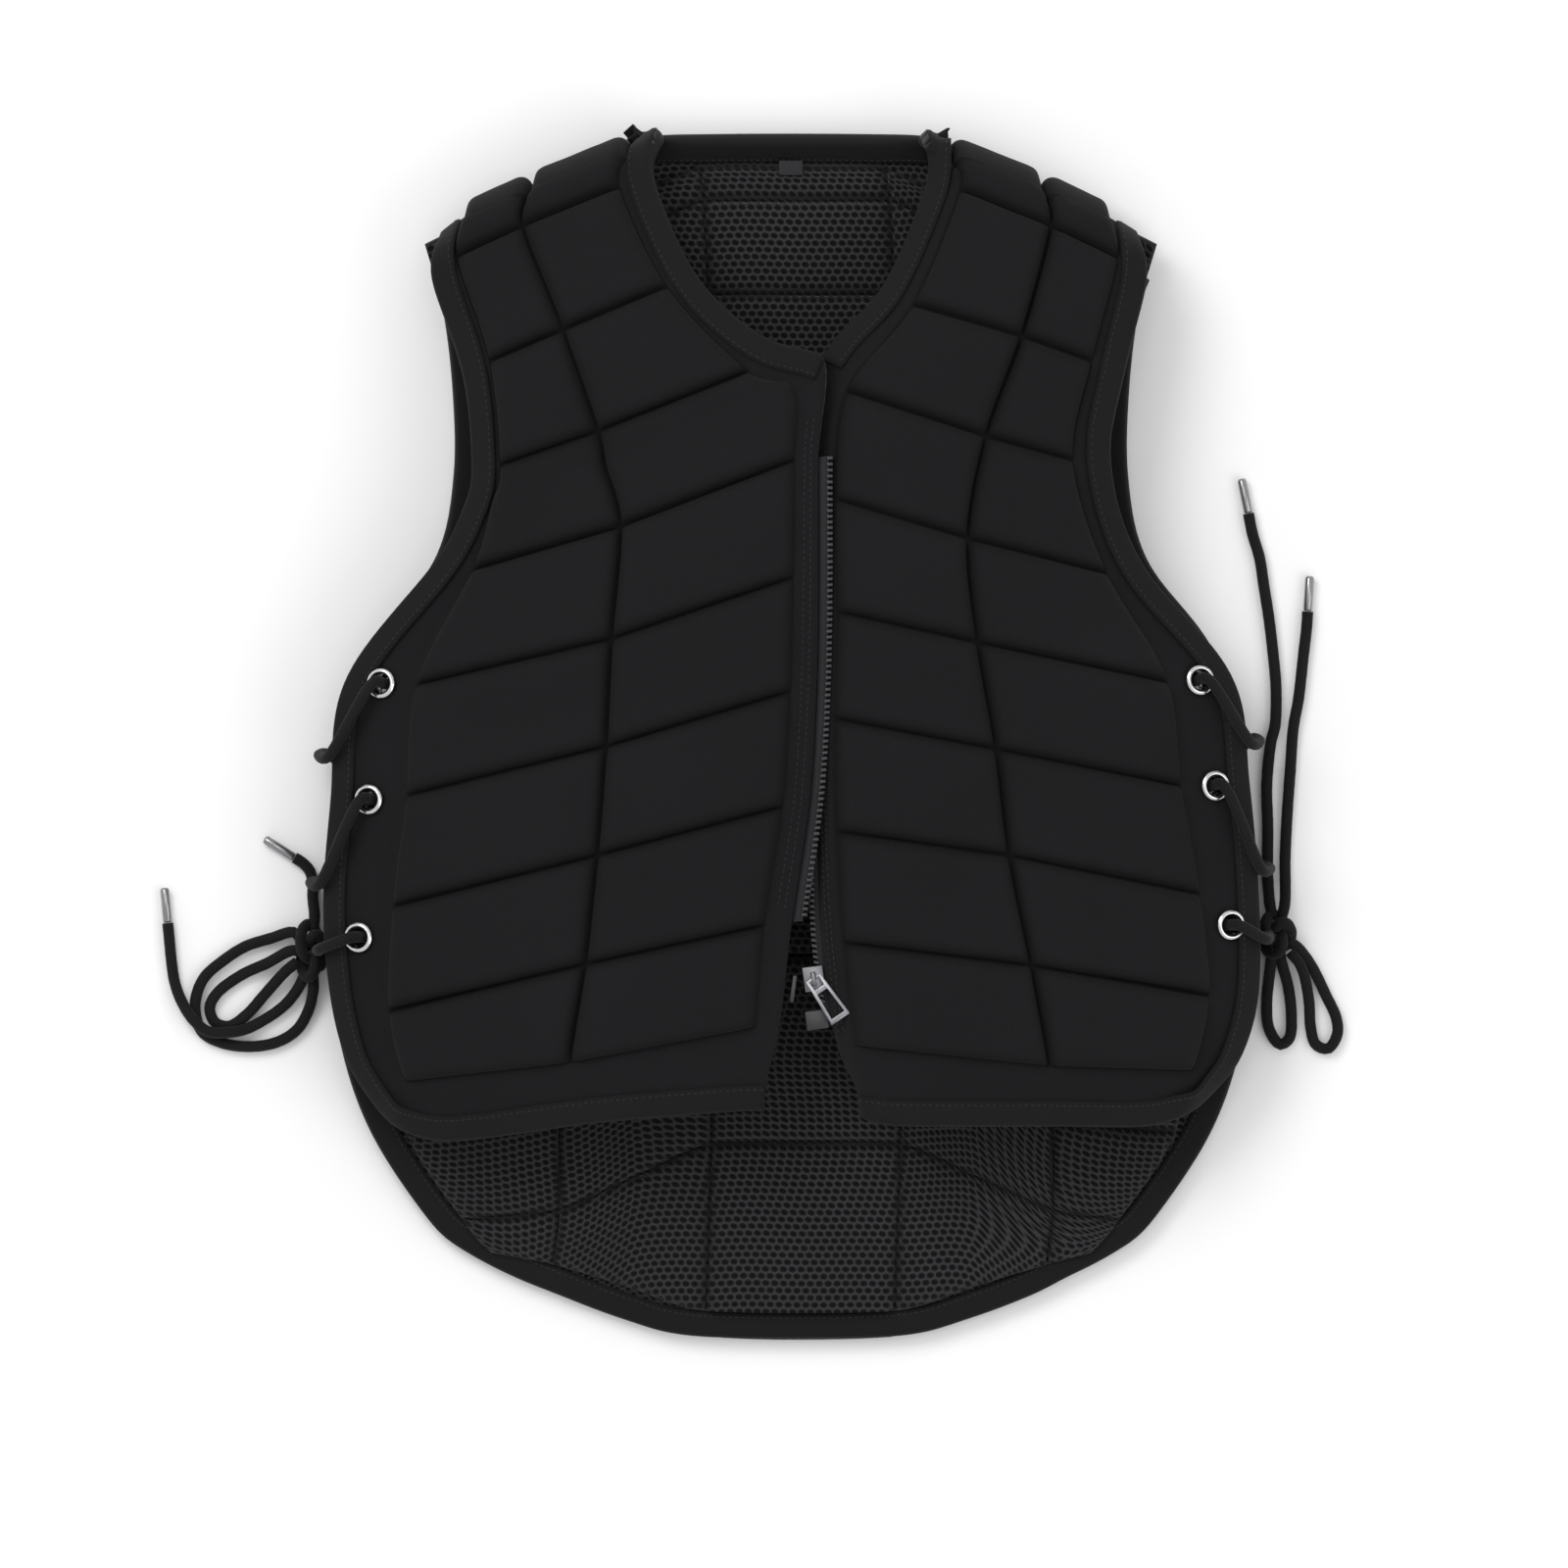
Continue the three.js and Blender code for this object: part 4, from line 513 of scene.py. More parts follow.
def line_places(intervals, lengths, near=(0.0, 0.8, 1.7, 2.8, 4.2, 6.0, 8.2), far=3.6):
    """Fractional row or column numbers for a grid, dense beside the stitched lines."""
    places = []
    for k, (kind, length) in enumerate(zip(intervals, lengths)):
        if kind == "flat":
            steps = np.linspace(0, length, max(2, int(length / 3.2)), endpoint=False)
        else:
            edge = [d for d in near if d < length / 2 - 0.5]
            inner = np.linspace(edge[-1], length - edge[-1], max(2, int((length - 2 * edge[-1]) / far)))
            steps = [*edge, *inner[1:-1], *[length - d for d in edge[:0:-1]]]
        places += [k + step / length for step in steps]
    return np.array([*places, len(lengths)])


def intervals_of(kinds):
    """Between two flat lines there is no foam."""
    return [
        "flat" if a == "flat" and b == "flat" else "tile" for a, b in zip(kinds, kinds[1:])
    ]


def rise(distance, width=BLOCK_EDGE):
    """From 0 in a channel to 1 on the block's flat top, rounded like pressed foam."""
    share = np.clip((distance - CHANNEL_FLOOR) / width, 0, 1)
    return (1 - (1 - share) ** 2.6) ** (1 / 1.9)


def bridged(sheet, u, row):
    """The back's middle blocks are two rows long, so some lines stop beside them."""
    if sheet is not sheets["back"]:
        return np.zeros_like(u, bool)
    return (u > 4) & (u < 5) & (row >= FIRST_LONG_ROW) & ((row - FIRST_LONG_ROW) % 2 == 1)


def pad_share(sheet, u, v, points):
    """How full the foam is at each grid point, from 0 on a line to 1 on a block."""
    rows, columns = sheet.kinds, sheet.columns
    r0 = np.clip(np.floor(v).astype(int), 0, len(rows) - 2)
    c0 = np.clip(np.floor(u).astype(int), 0, len(columns) - 2)
    def span(du, dv):
        return np.linalg.norm(
            sheet.middle(np.clip(u + du, 0, len(columns) - 1), np.clip(v + dv, 0, len(rows) - 1))
            - points, axis=-1)
    eps = 0.02
    per_u = np.maximum(span(eps, 0), span(-eps, 0)) / eps
    per_v = np.maximum(span(0, eps), span(0, -eps)) / eps
    full = np.ones_like(u)
    row_kinds, column_kinds = np.array(rows), np.array(columns)
    for offset in (0, 1):
        kind = row_kinds[r0 + offset]
        distance = np.abs(v - r0 - offset) * per_v
        skip = (kind == "pad") | bridged(sheet, u, r0 + offset)
        full *= np.where(skip, 1, rise(distance))
        kind = column_kinds[c0 + offset]
        full *= np.where(kind == "pad", 1, rise(np.abs(u - c0 - offset) * per_u))
    no_foam = (row_kinds[r0] == "flat") & (row_kinds[r0 + 1] == "flat")
    no_foam |= (column_kinds[c0] == "flat") & (column_kinds[c0 + 1] == "flat")
    flat_line = np.minimum(
        np.where(row_kinds[r0] == "flat", np.abs(v - r0) * per_v, 99),
        np.where(row_kinds[r0 + 1] == "flat", np.abs(v - r0 - 1) * per_v, 99),
    )
    flat_line = np.minimum(flat_line, np.where(column_kinds[c0] == "flat", (u - c0) * per_u, 99))
    flat_line = np.minimum(
        flat_line, np.where(column_kinds[c0 + 1] == "flat", np.abs(u - c0 - 1) * per_u, 99)
    )
    return np.where(no_foam, 0, full), no_foam | (flat_line < 0.3)


def wrinkles(points, seed):
    """Slow dents and fine puckers of a cloth cover, from -1 to 1."""
    out = np.empty(len(points))
    shift = Vector((seed * 3.1, seed * 1.7, seed * 2.3))
    for k, point in enumerate(points):
        p = Vector(point) * MM
        slow = noise.noise(p * 28 + shift)
        long_ = noise.noise(Vector((p.x * 90, p.y * 30, p.z * 60)) + shift)
        out[k] = 0.6 * slow + 0.4 * long_
    return out


# %% [markdown]
# The covers pull in where the needle went through, so the edge of a block is not a clean curve: it
# has small puckers along the seam. A slow unevenness of the foam and these puckers are added to the
# height. The lining side is an open net with a second, softer face of the block.

# %% Quilts
EYELET_ROWS = (5.0, 6.02, 7.3)


def quilt(name, sheet, seed):
    """A closed quilted panel: two covers and their side walls, with UVs in metres."""
    rows, columns = len(sheet.kinds), len(sheet.columns)
    middle_row, middle_column = np.full(columns, rows / 2.0), np.full(rows, columns / 2.0 - 0.5)
    column_line = sheet.middle(np.arange(columns, dtype=float), middle_row)
    row_line = sheet.middle(middle_column, np.arange(rows, dtype=float))
    us = line_places(intervals_of(sheet.columns), np.linalg.norm(np.diff(column_line, axis=0), axis=1))
    vs = line_places(intervals_of(sheet.kinds), np.linalg.norm(np.diff(row_line, axis=0), axis=1))
    v, u = np.meshgrid(vs, us)
    middle = sheet.middle(u, v)
    normal = unit(np.cross(np.gradient(middle, axis=1), np.gradient(middle, axis=0)))
    normal *= np.where(normal[len(us) // 2, -len(vs) // 3, 2] < 0, -1, 1)
    full, bare = pad_share(sheet, u, v, middle)
    lumps = wrinkles(middle.reshape(-1, 3), seed).reshape(u.shape)
    outer = np.where(bare, EDGE_THICKNESS / 2, CHANNEL_OUTSIDE)
    outer = outer + (PAD_THICKNESS / 2 - outer) * full + 0.55 * lumps * full
    outer += 0.5 * np.sin(full * np.pi) * lumps
    inner = np.where(bare, EDGE_THICKNESS / 2, CHANNEL_INSIDE)
    inner = inner + (PAD_THICKNESS / 2 - inner) * full**0.8 - 0.4 * lumps * full
    up, down = (inner, outer) if sheet.lining_up else (outer, inner)
    tops = middle + normal * up[..., None]
    bottoms = middle - normal * down[..., None]
    if sheet is sheets["back"]:
        bottoms[..., 2] = np.maximum(bottoms[..., 2], 0.0)

    bm = bmesh.new()
    bmesh.ops.create_grid(bm, x_segments=len(us) - 1, y_segments=len(vs) - 1, size=1.0)
    mark = bm.verts.layers.float_vector.new("place")
    foam = bm.verts.layers.float.new("fullness")
    for vert in bm.verts:
        i = round((vert.co.x + 1) / 2 * (len(us) - 1))
        j = round((vert.co.y + 1) / 2 * (len(vs) - 1))
        vert[mark] = (i, j, 0)
    made = bmesh.ops.extrude_face_region(bm, geom=bm.faces[:], use_keep_orig=True)
    for item in made["geom"]:
        if isinstance(item, bmesh.types.BMVert):
            item[mark] = (item[mark].x, item[mark].y, 1)
    across = np.cumsum(np.linalg.norm(np.diff(middle, axis=0, prepend=middle[:1]), axis=-1), axis=0)
    down_ = np.cumsum(np.linalg.norm(np.diff(middle, axis=1, prepend=middle[:, :1]), axis=-1), axis=1)
    uv = bm.loops.layers.uv.new("UVMap")
    for vert in bm.verts:
        i, j, side = (int(round(x)) for x in vert[mark])
        vert.co = Vector((tops if side else bottoms)[i, j] * MM)
        # The foam's fullness, set to one on bare cloth, is kept on each point; the materials paint shade
        # into the channels from it.
        vert[foam] = 1.0 if bare[i, j] else full[i, j]
    for face in bm.faces:
        for loop in face.loops:
            i, j, _ = (int(round(x)) for x in loop.vert[mark])
            loop[uv].uv = (across[i, j] * MM, down_[i, j] * MM)
        top = all(loop.vert[mark].z > 0.5 for loop in face.loops)
        face.material_index = 1 if top == sheet.lining_up else 0
    bmesh.ops.recalc_face_normals(bm, faces=bm.faces)
    data = to_mesh(bm, name)
    return data, len(us), len(vs)


cover_and_net = [bpy.data.materials.new(label) for label in ("cover cloth", "lining net")]
quilts = {}
for seed, (side, node) in enumerate(
    (("left", "front_left_panel"), ("right", "front_right_panel"), ("back", "back_panel"))
):
    data, nu, nv = quilt("quilt_" + side, sheets[side], seed + 1)
    quilts[side] = add_piece("quilt_" + side, data, cover_and_net, replaces=[node], slot="quilted_fabric")
    print("quilt", side, "grid", nu, "x", nv)

# %% [markdown]
# The raw edges of the covers are bound with a folded tape, sewn through all layers. Its cross
# section is a narrow U that grips the panel's edge. The section is placed every few millimetres along
# the edge, and small waves in its height stand for the elastic pulling in between stitches.

# %% Edge lines of a sheet
BINDING_WIDTH, BINDING_WALL, SLOT_GAP = 11.0, 1.6, 0.35
STATION = 3.2  # spacing of cross sections along an edge, mm


def edge_line(sheet, path, rounding=6):
    """Points and normals along an edge given as (u, v) places, in mm."""
    u, v = (np.array(values, float) for values in zip(*path))
    points = sheet.middle(u, v)
    columns, rows = len(sheet.columns) - 1, len(sheet.kinds) - 1
    eps = 0.03
    du = sheet.middle(np.minimum(u + eps, columns), v) - sheet.middle(np.maximum(u - eps, 0), v)
    dv = sheet.middle(u, np.minimum(v + eps, rows)) - sheet.middle(u, np.maximum(v - eps, 0))
    normals = unit(np.cross(dv, du))
    even, travelled = resample(points, STATION)
    steps = np.concatenate([[0], np.cumsum(np.linalg.norm(np.diff(points, axis=0), axis=1))])
    ups = unit(np.stack([np.interp(travelled, steps, normals[:, k]) for k in range(3)], axis=1))
    even, ups = smooth_line(even, rounding), unit(smooth_line(ups, rounding))
    tangents = unit(np.gradient(even, axis=0))
    return even, ups, tangents, travelled


def track(start, end, count=60):
    """Evenly spaced (u, v) places between two corners."""
    return [tuple(p) for p in np.linspace(start, end, count)]


def u_section(steps=7):
    """Section of a folded tape as (inward, up) pairs in mm, first its outside, then its inside."""
    half = EDGE_THICKNESS / 2 + SLOT_GAP
    top = half + BINDING_WALL
    fold = BINDING_WALL + SLOT_GAP
    outside = [(BINDING_WIDTH, half + 0.5), (BINDING_WIDTH - 0.5, top - 0.25), (BINDING_WIDTH - 2, top)]
    outside += [(x, top + 0.12) for x in (7.5, 5.0, 2.5)]
    angles = np.linspace(np.pi / 2, -np.pi / 2, steps)
    bow = [(-fold * math.cos(a), top * math.sin(a)) for a in angles]
    inside = [(BINDING_WIDTH, half), (1.0, half), (-SLOT_GAP, half * 0.5)]
    half_loop = outside + bow[: steps // 2 + 1]
    mirrored = [(x, -z) for x, z in reversed(outside + bow[: steps // 2])]
    inner = [(x, -z) for x, z in inside] + [(x, z) for x, z in reversed(inside)]
    return np.array(half_loop + mirrored + inner), len(half_loop + mirrored)


SECTION, OUTSIDE_COUNT = u_section()


def binding_mesh(name, line, inward_sign, seed):
    """A folded tape swept along an edge line."""
    points, ups, tangents, travelled = line
    inward = unit(np.cross(ups, tangents)) * inward_sign
    rings = []
    for k, (point, up, into) in enumerate(zip(points, ups, inward)):
        wave = 0.16 * math.sin(travelled[k] * 0.9 + seed) + 0.2 * noise.noise(
            Vector((travelled[k] * 0.05, seed, 0)))
        offsets = SECTION.copy()
        offsets[:OUTSIDE_COUNT, 1] *= 1 + 0.06 * wave
        offsets[:OUTSIDE_COUNT, 0] += np.where(offsets[:OUTSIDE_COUNT, 0] > 9, 0.5 * wave, 0)
        ring = point + offsets[:, :1] * into + offsets[:, 1:] * up
        rings.append(np.maximum(ring, [-999, -999, 0.05]) * MM)
    section = np.concatenate([[0], np.cumsum(np.linalg.norm(np.diff(SECTION, axis=0), axis=1))]) * MM
    return to_mesh(sweep(rings, travelled * MM, section=section), name)


def last(sheet):
    return len(sheet.columns) - 1, len(sheet.kinds) - 1


front_lines = {}
for side in ("left", "right"):
    sheet = sheets[side]
    c, r = last(sheet)
    path = track((0, r), (c, r), 80)[:-1] + track((c, r), (c, 0), 240)
    front_lines[side] = edge_line(sheet, path)
back = sheets["back"]
c, r = last(back)
back_path = track((0, 1.0), (0, r), 260)[:-1] + track((0, r), (c, r), 160)[:-1]
back_line = edge_line(back, back_path + track((c, r), (c, 1.0), 260))

LEFT_CORNER, RIGHT_CORNER = 3, 2
NECK_COLUMNS = (3, 6)
up_left = edge_line(sheets["left"], track((0, FOLD_ROWS + LEFT_CORNER), (0, 0), 120))
down_right = edge_line(sheets["right"], track((0, 0), (0, FOLD_ROWS + RIGHT_CORNER), 120))
neck_back = edge_line(back, track((NECK_COLUMNS[0], 0), (NECK_COLUMNS[1], 0), 100))


def joined(parts):
    """Several edge lines as one, in one direction, evened out where they meet."""
    points = np.concatenate([part[0] for part in parts])
    ups = parts[0][1]
    for part in parts[1:]:
        turn = 1 if np.dot(ups[-1], part[1][0]) > 0 else -1
        ups = np.concatenate([ups, part[1] * turn])
    even, travelled = resample(points, STATION)
    steps = np.concatenate([[0], np.cumsum(np.linalg.norm(np.diff(points, axis=0), axis=1))])
    ups = unit(np.stack([np.interp(travelled, steps, ups[:, k]) for k in range(3)], axis=1))
    even, ups = smooth_line(even, 8), unit(smooth_line(ups, 12))
    return even, ups, unit(np.gradient(even, axis=0)), travelled


neck_line = joined([up_left, neck_back, down_right])


def inward_of(line, middle):
    """Which way the tape opens: towards a point inside the panel."""
    points, ups, tangents, _ = line
    k = len(points) // 2
    into = np.cross(ups[k], tangents[k])
    return 1 if np.dot(into, np.array(middle) - points[k]) > 0 else -1


bindings = {}
for k, (name, line, node, middle) in enumerate((
    ("binding_front_left", front_lines["left"], "edge_binding_front_left", (-100, 0, 60)),
    ("binding_front_right", front_lines["right"], "edge_binding_front_right", (100, 0, 60)),
    ("binding_back", back_line, "edge_binding_back", (0, 0, 10)),
    ("binding_neck", neck_line, "neck_binding", (0, 200, 10)),
)):
    data = binding_mesh(name, line, inward_of(line, middle), k)
    bindings[name] = add_piece(name, data, [], replaces=[node], slot="edge_binding")
    print(name, round(line[3][-1]), "mm long")

# %% [markdown]
# Each eyelet is a rolled nickel ring on either face of the side band. Its profile is drawn once and
# spun round its axis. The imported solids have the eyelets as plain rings, so their places are read
# from those rings: the middle of the box, and the direction of the flat face.

# %% Eyelets
EYELET_RADIUS, EYELET_BORE = 7.6, 4.5  # mm
EYELET_PARTS = 48


def eyelet_frame(node):
    """Middle and axis of a packed eyelet, from its own points."""
    points = np.array([v.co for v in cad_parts[node].data.vertices])
    middle = (points.min(axis=0) + points.max(axis=0)) / 2
    _, spread, axes = np.linalg.svd(points - points.mean(axis=0), full_matrices=False)
    axis = axes[0] if spread[0] - spread[1] > spread[1] - spread[2] else axes[2]
    axis = axis if axis[2] > 0 else -axis
    heights = (points - middle) @ axis
    return middle, axis, heights.max()


def spun(profile, parts=EYELET_PARTS):
    """Spins a closed profile of (radius, height) pairs round the Z axis."""
    bm = bmesh.new()
    verts = [bm.verts.new((r, 0, z)) for r, z in profile]
    edges = [bm.edges.new((a, b)) for a, b in zip(verts, verts[1:] + verts[:1])]
    bmesh.ops.spin(bm, geom=verts + edges, cent=(0, 0, 0), axis=(0, 0, 1), angle=2 * math.pi,
                   steps=parts, use_merge=True, use_duplicate=False)
    bmesh.ops.recalc_face_normals(bm, faces=bm.faces)
    return bm


def eyelet_profile(reach):
    """Rolled flange above and below, joined by the barrel; mm from the middle of the band."""
    face = reach - 1.7
    bore, rim = EYELET_BORE, EYELET_RADIUS
    roll = [(bore + 0.15, face + 0.2), (bore + 0.5, face + 1.1), (bore + 1.2, face + 1.6),
            (bore + 2.0, face + 1.45), (rim - 0.5, face + 0.75), (rim, face + 0.3),
            (rim - 0.15, face + 0.05), (bore + 1.0, face + 0.1), (bore + 0.6, face - 0.2)]
    low = [(r, -z) for r, z in reversed(roll)]
    return [(r * MM, z * MM) for r, z in roll + low]


eyelet_nodes = sorted(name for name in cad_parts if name.startswith("eyelet_"))
eyelet_frames = {}
for node in eyelet_nodes:
    middle, axis, reach = eyelet_frame(node)
    eyelet_frames[node] = (middle, axis)
    bm = spun(eyelet_profile(reach / MM))
    turn = Vector((0, 0, 1)).rotation_difference(Vector(axis)).to_matrix().to_4x4()
    bmesh.ops.transform(bm, matrix=Matrix.Translation(middle) @ turn, verts=bm.verts)
    add_piece("ring_" + node, to_mesh(bm, "ring_" + node), [], replaces=[node], slot="nickel")
print("eyelets:", len(eyelet_nodes))

# %% [markdown]
# The ring is punched through both covers, so the panels and their bands need a real hole under it.
# A cylinder is taken out of each with the Boolean modifier, which is then applied.

# %% Eyelet holes


def applied(piece):
    """Turns a piece's modifiers into its mesh."""
    depsgraph = bpy.context.evaluated_depsgraph_get()
    data = bpy.data.meshes.new_from_object(piece.evaluated_get(depsgraph))
    data.name = piece.data.name
    piece.modifiers.clear()
    piece.data = data


def punch(piece, nodes):
    """Cuts a round hole through a piece at each eyelet."""
    bm = bmesh.new()
    for node in nodes:
        middle, axis = eyelet_frames[node]
        made = bmesh.ops.create_cone(bm, cap_ends=True, segments=24, depth=0.03,
                                     radius1=(EYELET_BORE + 0.7) * MM, radius2=(EYELET_BORE + 0.7) * MM)
        turn = Vector((0, 0, 1)).rotation_difference(Vector(axis)).to_matrix().to_4x4()
        bmesh.ops.transform(bm, matrix=Matrix.Translation(middle) @ turn, verts=made["verts"])
    cutter = bpy.data.objects.new("cutter", to_mesh(bm, "cutter", smooth=False))
    bpy.context.scene.collection.objects.link(cutter)
    modifier = piece.modifiers.new("holes", "BOOLEAN")
    modifier.object, modifier.operation, modifier.solver = cutter, "DIFFERENCE", "EXACT"
    applied(piece)
    bpy.data.objects.remove(cutter)
    print(piece.name, "faces after punching:", len(piece.data.polygons))


for side in ("left", "right"):
    nodes = [n for n in eyelet_nodes if n.startswith("eyelet_front_" + side)]
    punch(quilts[side], nodes)
    punch(bindings["binding_front_" + side], nodes)
back_nodes = [n for n in eyelet_nodes if n.startswith("eyelet_back")]
punch(quilts["back"], back_nodes)
punch(bindings["binding_back"], back_nodes)

# %% [markdown]
# The zip is undone. Each half is a narrow woven tape with a row of moulded teeth. One tooth is a small
# block with a bevelled head; copies of it stand every 2.8 mm along the zip line. The tape is a thin
# sweep along the same line, and it runs on a little below the last tooth.

# %% Zip tapes and teeth
TAPE_WIDTH, TAPE_THICKNESS = 3.6, 1.0
TEETH_START, TEETH_WIDTH, TEETH_HEIGHT = 4.1, 3.0, 2.8
TOOTH_PITCH = 2.8
ZIP_ENDS = {"left": (280 / 597, 0.722, 0.6985), "right": (310 / 597, 0.744, 0.7272)}
ZIP_ROWS = {"left": (7, 11), "right": (6, 11)}
PLASTIC_SLOT, TAPE_SLOT = "zip_teeth", "zip_tape"


def zip_line(side):
    """Edge points, the way out across the zip, and the distance along, in mm."""
    sheet = sheets[side]
    start, end = ZIP_ROWS[side]
    v = np.linspace(start, end, 200)
    points = sheet.middle(np.zeros_like(v), v)
    out = sheet.middle(np.zeros_like(v), v) - sheet.middle(np.full_like(v, 0.5), v)
    out[:, 2] = 0
    even, travelled = resample(points, 1.4)
    steps = np.concatenate([[0], np.cumsum(np.linalg.norm(np.diff(points, axis=0), axis=1))])
    outs = unit(np.stack([np.interp(travelled, steps, unit(out)[:, k]) for k in range(3)], axis=1))
    return even, smooth_line(outs, 8), travelled


def above(line, share):
    """The part of a zip line above a share of the vest's length."""
    even, outs, travelled = line
    keep = even[:, 1] > (0.5 - share) * LENGTH + SHIFT[1]
    return even[keep], outs[keep], travelled[keep]


UP = np.array([0, 0, 1.0])
zip_lines = {side: zip_line(side) for side in ("left", "right")}
for side in ("left", "right"):
    _, tape_foot, teeth_foot = ZIP_ENDS[side]
    points, outs, travelled = above(zip_lines[side], tape_foot)
    half = TAPE_THICKNESS / 2
    flat = np.array([(0.3, -half), (TAPE_WIDTH + 1.4, -half), (TAPE_WIDTH + 1.6, 0),
                     (TAPE_WIDTH + 1.4, half), (0.3, half)])
    rings = [(p + flat[:, :1] * o + flat[:, 1:] * UP) * MM for p, o in zip(points, outs)]
    add_piece("tape_" + side, to_mesh(sweep(rings, travelled * MM), "tape_" + side), [],
              replaces=["zip_tape_" + side], slot=TAPE_SLOT)

    points, outs, travelled = above(zip_lines[side], teeth_foot)
    bm = bmesh.new()
    count = int((travelled[-1] - travelled[0]) / TOOTH_PITCH)
    for k in range(count):
        where = travelled[0] + 1 + k * TOOTH_PITCH
        point = np.array([np.interp(where, travelled, points[:, a]) for a in range(3)])
        out = unit(np.array([np.interp(where, travelled, outs[:, a]) for a in range(3)]))
        along = np.cross(UP, out)
        basis = Matrix(np.column_stack([out, along, UP]).tolist()).to_4x4()
        centre = (point + out * (TEETH_START + TEETH_WIDTH / 2)) * MM
        for reach, width, height, offset in ((TEETH_WIDTH, 1.5, TEETH_HEIGHT, 0.0), (1.3, 1.9, 2.0, 0.75)):
            made = bmesh.ops.create_cube(bm, size=1.0)
            scale = Matrix.Diagonal((reach * MM, width * MM, height * MM, 1))
            place = Matrix.Translation(Vector(centre + out * offset * MM)) @ basis @ scale
            bmesh.ops.transform(bm, matrix=place, verts=made["verts"])
    bmesh.ops.bevel(bm, geom=bm.edges[:], offset=0.28 * MM, segments=2, profile=0.5,
                    affect="EDGES", material=-1)
    add_piece("teeth_" + side, to_mesh(bm, "teeth_" + side), [],
              replaces=["zip_teeth_" + side], slot=PLASTIC_SLOT)
    print("teeth on the", side, count)

# %% [markdown]
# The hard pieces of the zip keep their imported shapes. A copy of each solid is merged into whole
# faces, and its edges are bevelled, because a cast or moulded edge always catches a line of light.

# %% Hard pieces


def bevelled_copy(name, node, width, body=VEST, slot=None, segments=3):
    """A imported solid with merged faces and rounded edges."""
    bm = bmesh.new()
    bm.from_mesh(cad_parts[node].data)
    bmesh.ops.remove_doubles(bm, verts=bm.verts, dist=0.00002)
    bmesh.ops.dissolve_limit(bm, angle_limit=math.radians(2), verts=bm.verts, edges=bm.edges)
    sharp = [e for e in bm.edges if len(e.link_faces) == 2 and e.calc_face_angle(0) > math.radians(20)]
    bmesh.ops.bevel(bm, geom=sharp, offset=width * MM, segments=segments, profile=0.5,
                    affect="EDGES", material=-1, clamp_overlap=True)
    bmesh.ops.recalc_face_normals(bm, faces=bm.faces)
    return add_piece(name, to_mesh(bm, name), [], body=body, replaces=[node], slot=slot)


bevelled_copy("slider", "zip_slider", 0.35, slot="gunmetal")
bevelled_copy("pull_plate", "zip_pull", 0.3, body=PULL, slot="gunmetal")
bevelled_copy("zip_end_box", "zip_box", 0.6, slot=PLASTIC_SLOT)
bevelled_copy("zip_end_pin", "zip_pin", 0.4, slot=PLASTIC_SLOT)
bevelled_copy("bare_tab", "size_tab", 0.2, slot="tab_fabric")
print("hard pieces:", 5)

# %% [markdown]
# A bow's knot is cord wound over itself. A line that runs twice round a ring while it turns three
# times through it is the simplest real knot, and swept with the same cord it fills the place of the
# packed knot. The held laces run from it through the eyelets, over the band and round both edges.

# %% Knots
KNOT_TURNS = 150


def knot_line(middle, size):
    """A closed knotted line inside an oval of the given half sizes, in metres."""
    t = np.linspace(0, 2 * np.pi, KNOT_TURNS, endpoint=False)
    ring = 2 + np.cos(3 * t)
    shape = np.stack([ring * np.cos(2 * t), ring * np.sin(2 * t), np.sin(3 * t)], axis=1) / [3, 3, 1]
    room = np.array(size) - LACE / MM / 2
    return (np.array(middle) + shape * room + SHIFT) * MM


def closed_cord(name, centres, radius):
    """A cord whose end meets its start."""
    rings = cord_rings(np.vstack([centres, centres[:3]]), radius, sides=12)[1:-1]
    travelled = np.arange(len(rings)) * np.linalg.norm(centres[1] - centres[0])
    return to_mesh(sweep(rings, travelled), name)


for side, (middle, size) in KNOTS.items():
    data = closed_cord("knot_" + side, knot_line(middle, size), LACE / 2)
    add_piece("knot_" + side, data, [], replaces=["lace_knot_" + side], slot="lace_cord")
    print("knot", side)

# %% [markdown]
# The imported held lace is a swept tube with eight sides. The finer cord here takes its place, along a
# route built from the knot, the side band's edges and the eyelets.

# %% Held laces
LACE_CLEAR, LACE_SLACK, LACE_LEAN, KNOT_EXIT = 0.8, 3.0, 0.11, (4, 4)
BAND_REACH = EDGE_THICKNESS + 2 * (0.5 + BINDING_WALL)
EYELET_WALL, TOUCH_GAP, CAD_SLOT = 0.9, 0.3, 0.5


def band_frame(sheet, row):
    """The side band's edge, up and out at a row of a front, in mm."""
    c = last(sheet)[0]
    v = np.array([row - 0.02, row, row + 0.02])
    edge = sheet.middle(np.full(3, float(c)), v)
    inner = sheet.middle(np.full(3, c - 0.3), v)
    out = unit(edge[1] - inner[1])
    along = unit(edge[2] - edge[0])
    up = unit(np.cross(out, along))
    return edge[1], up if up[2] > 0 else -up, out


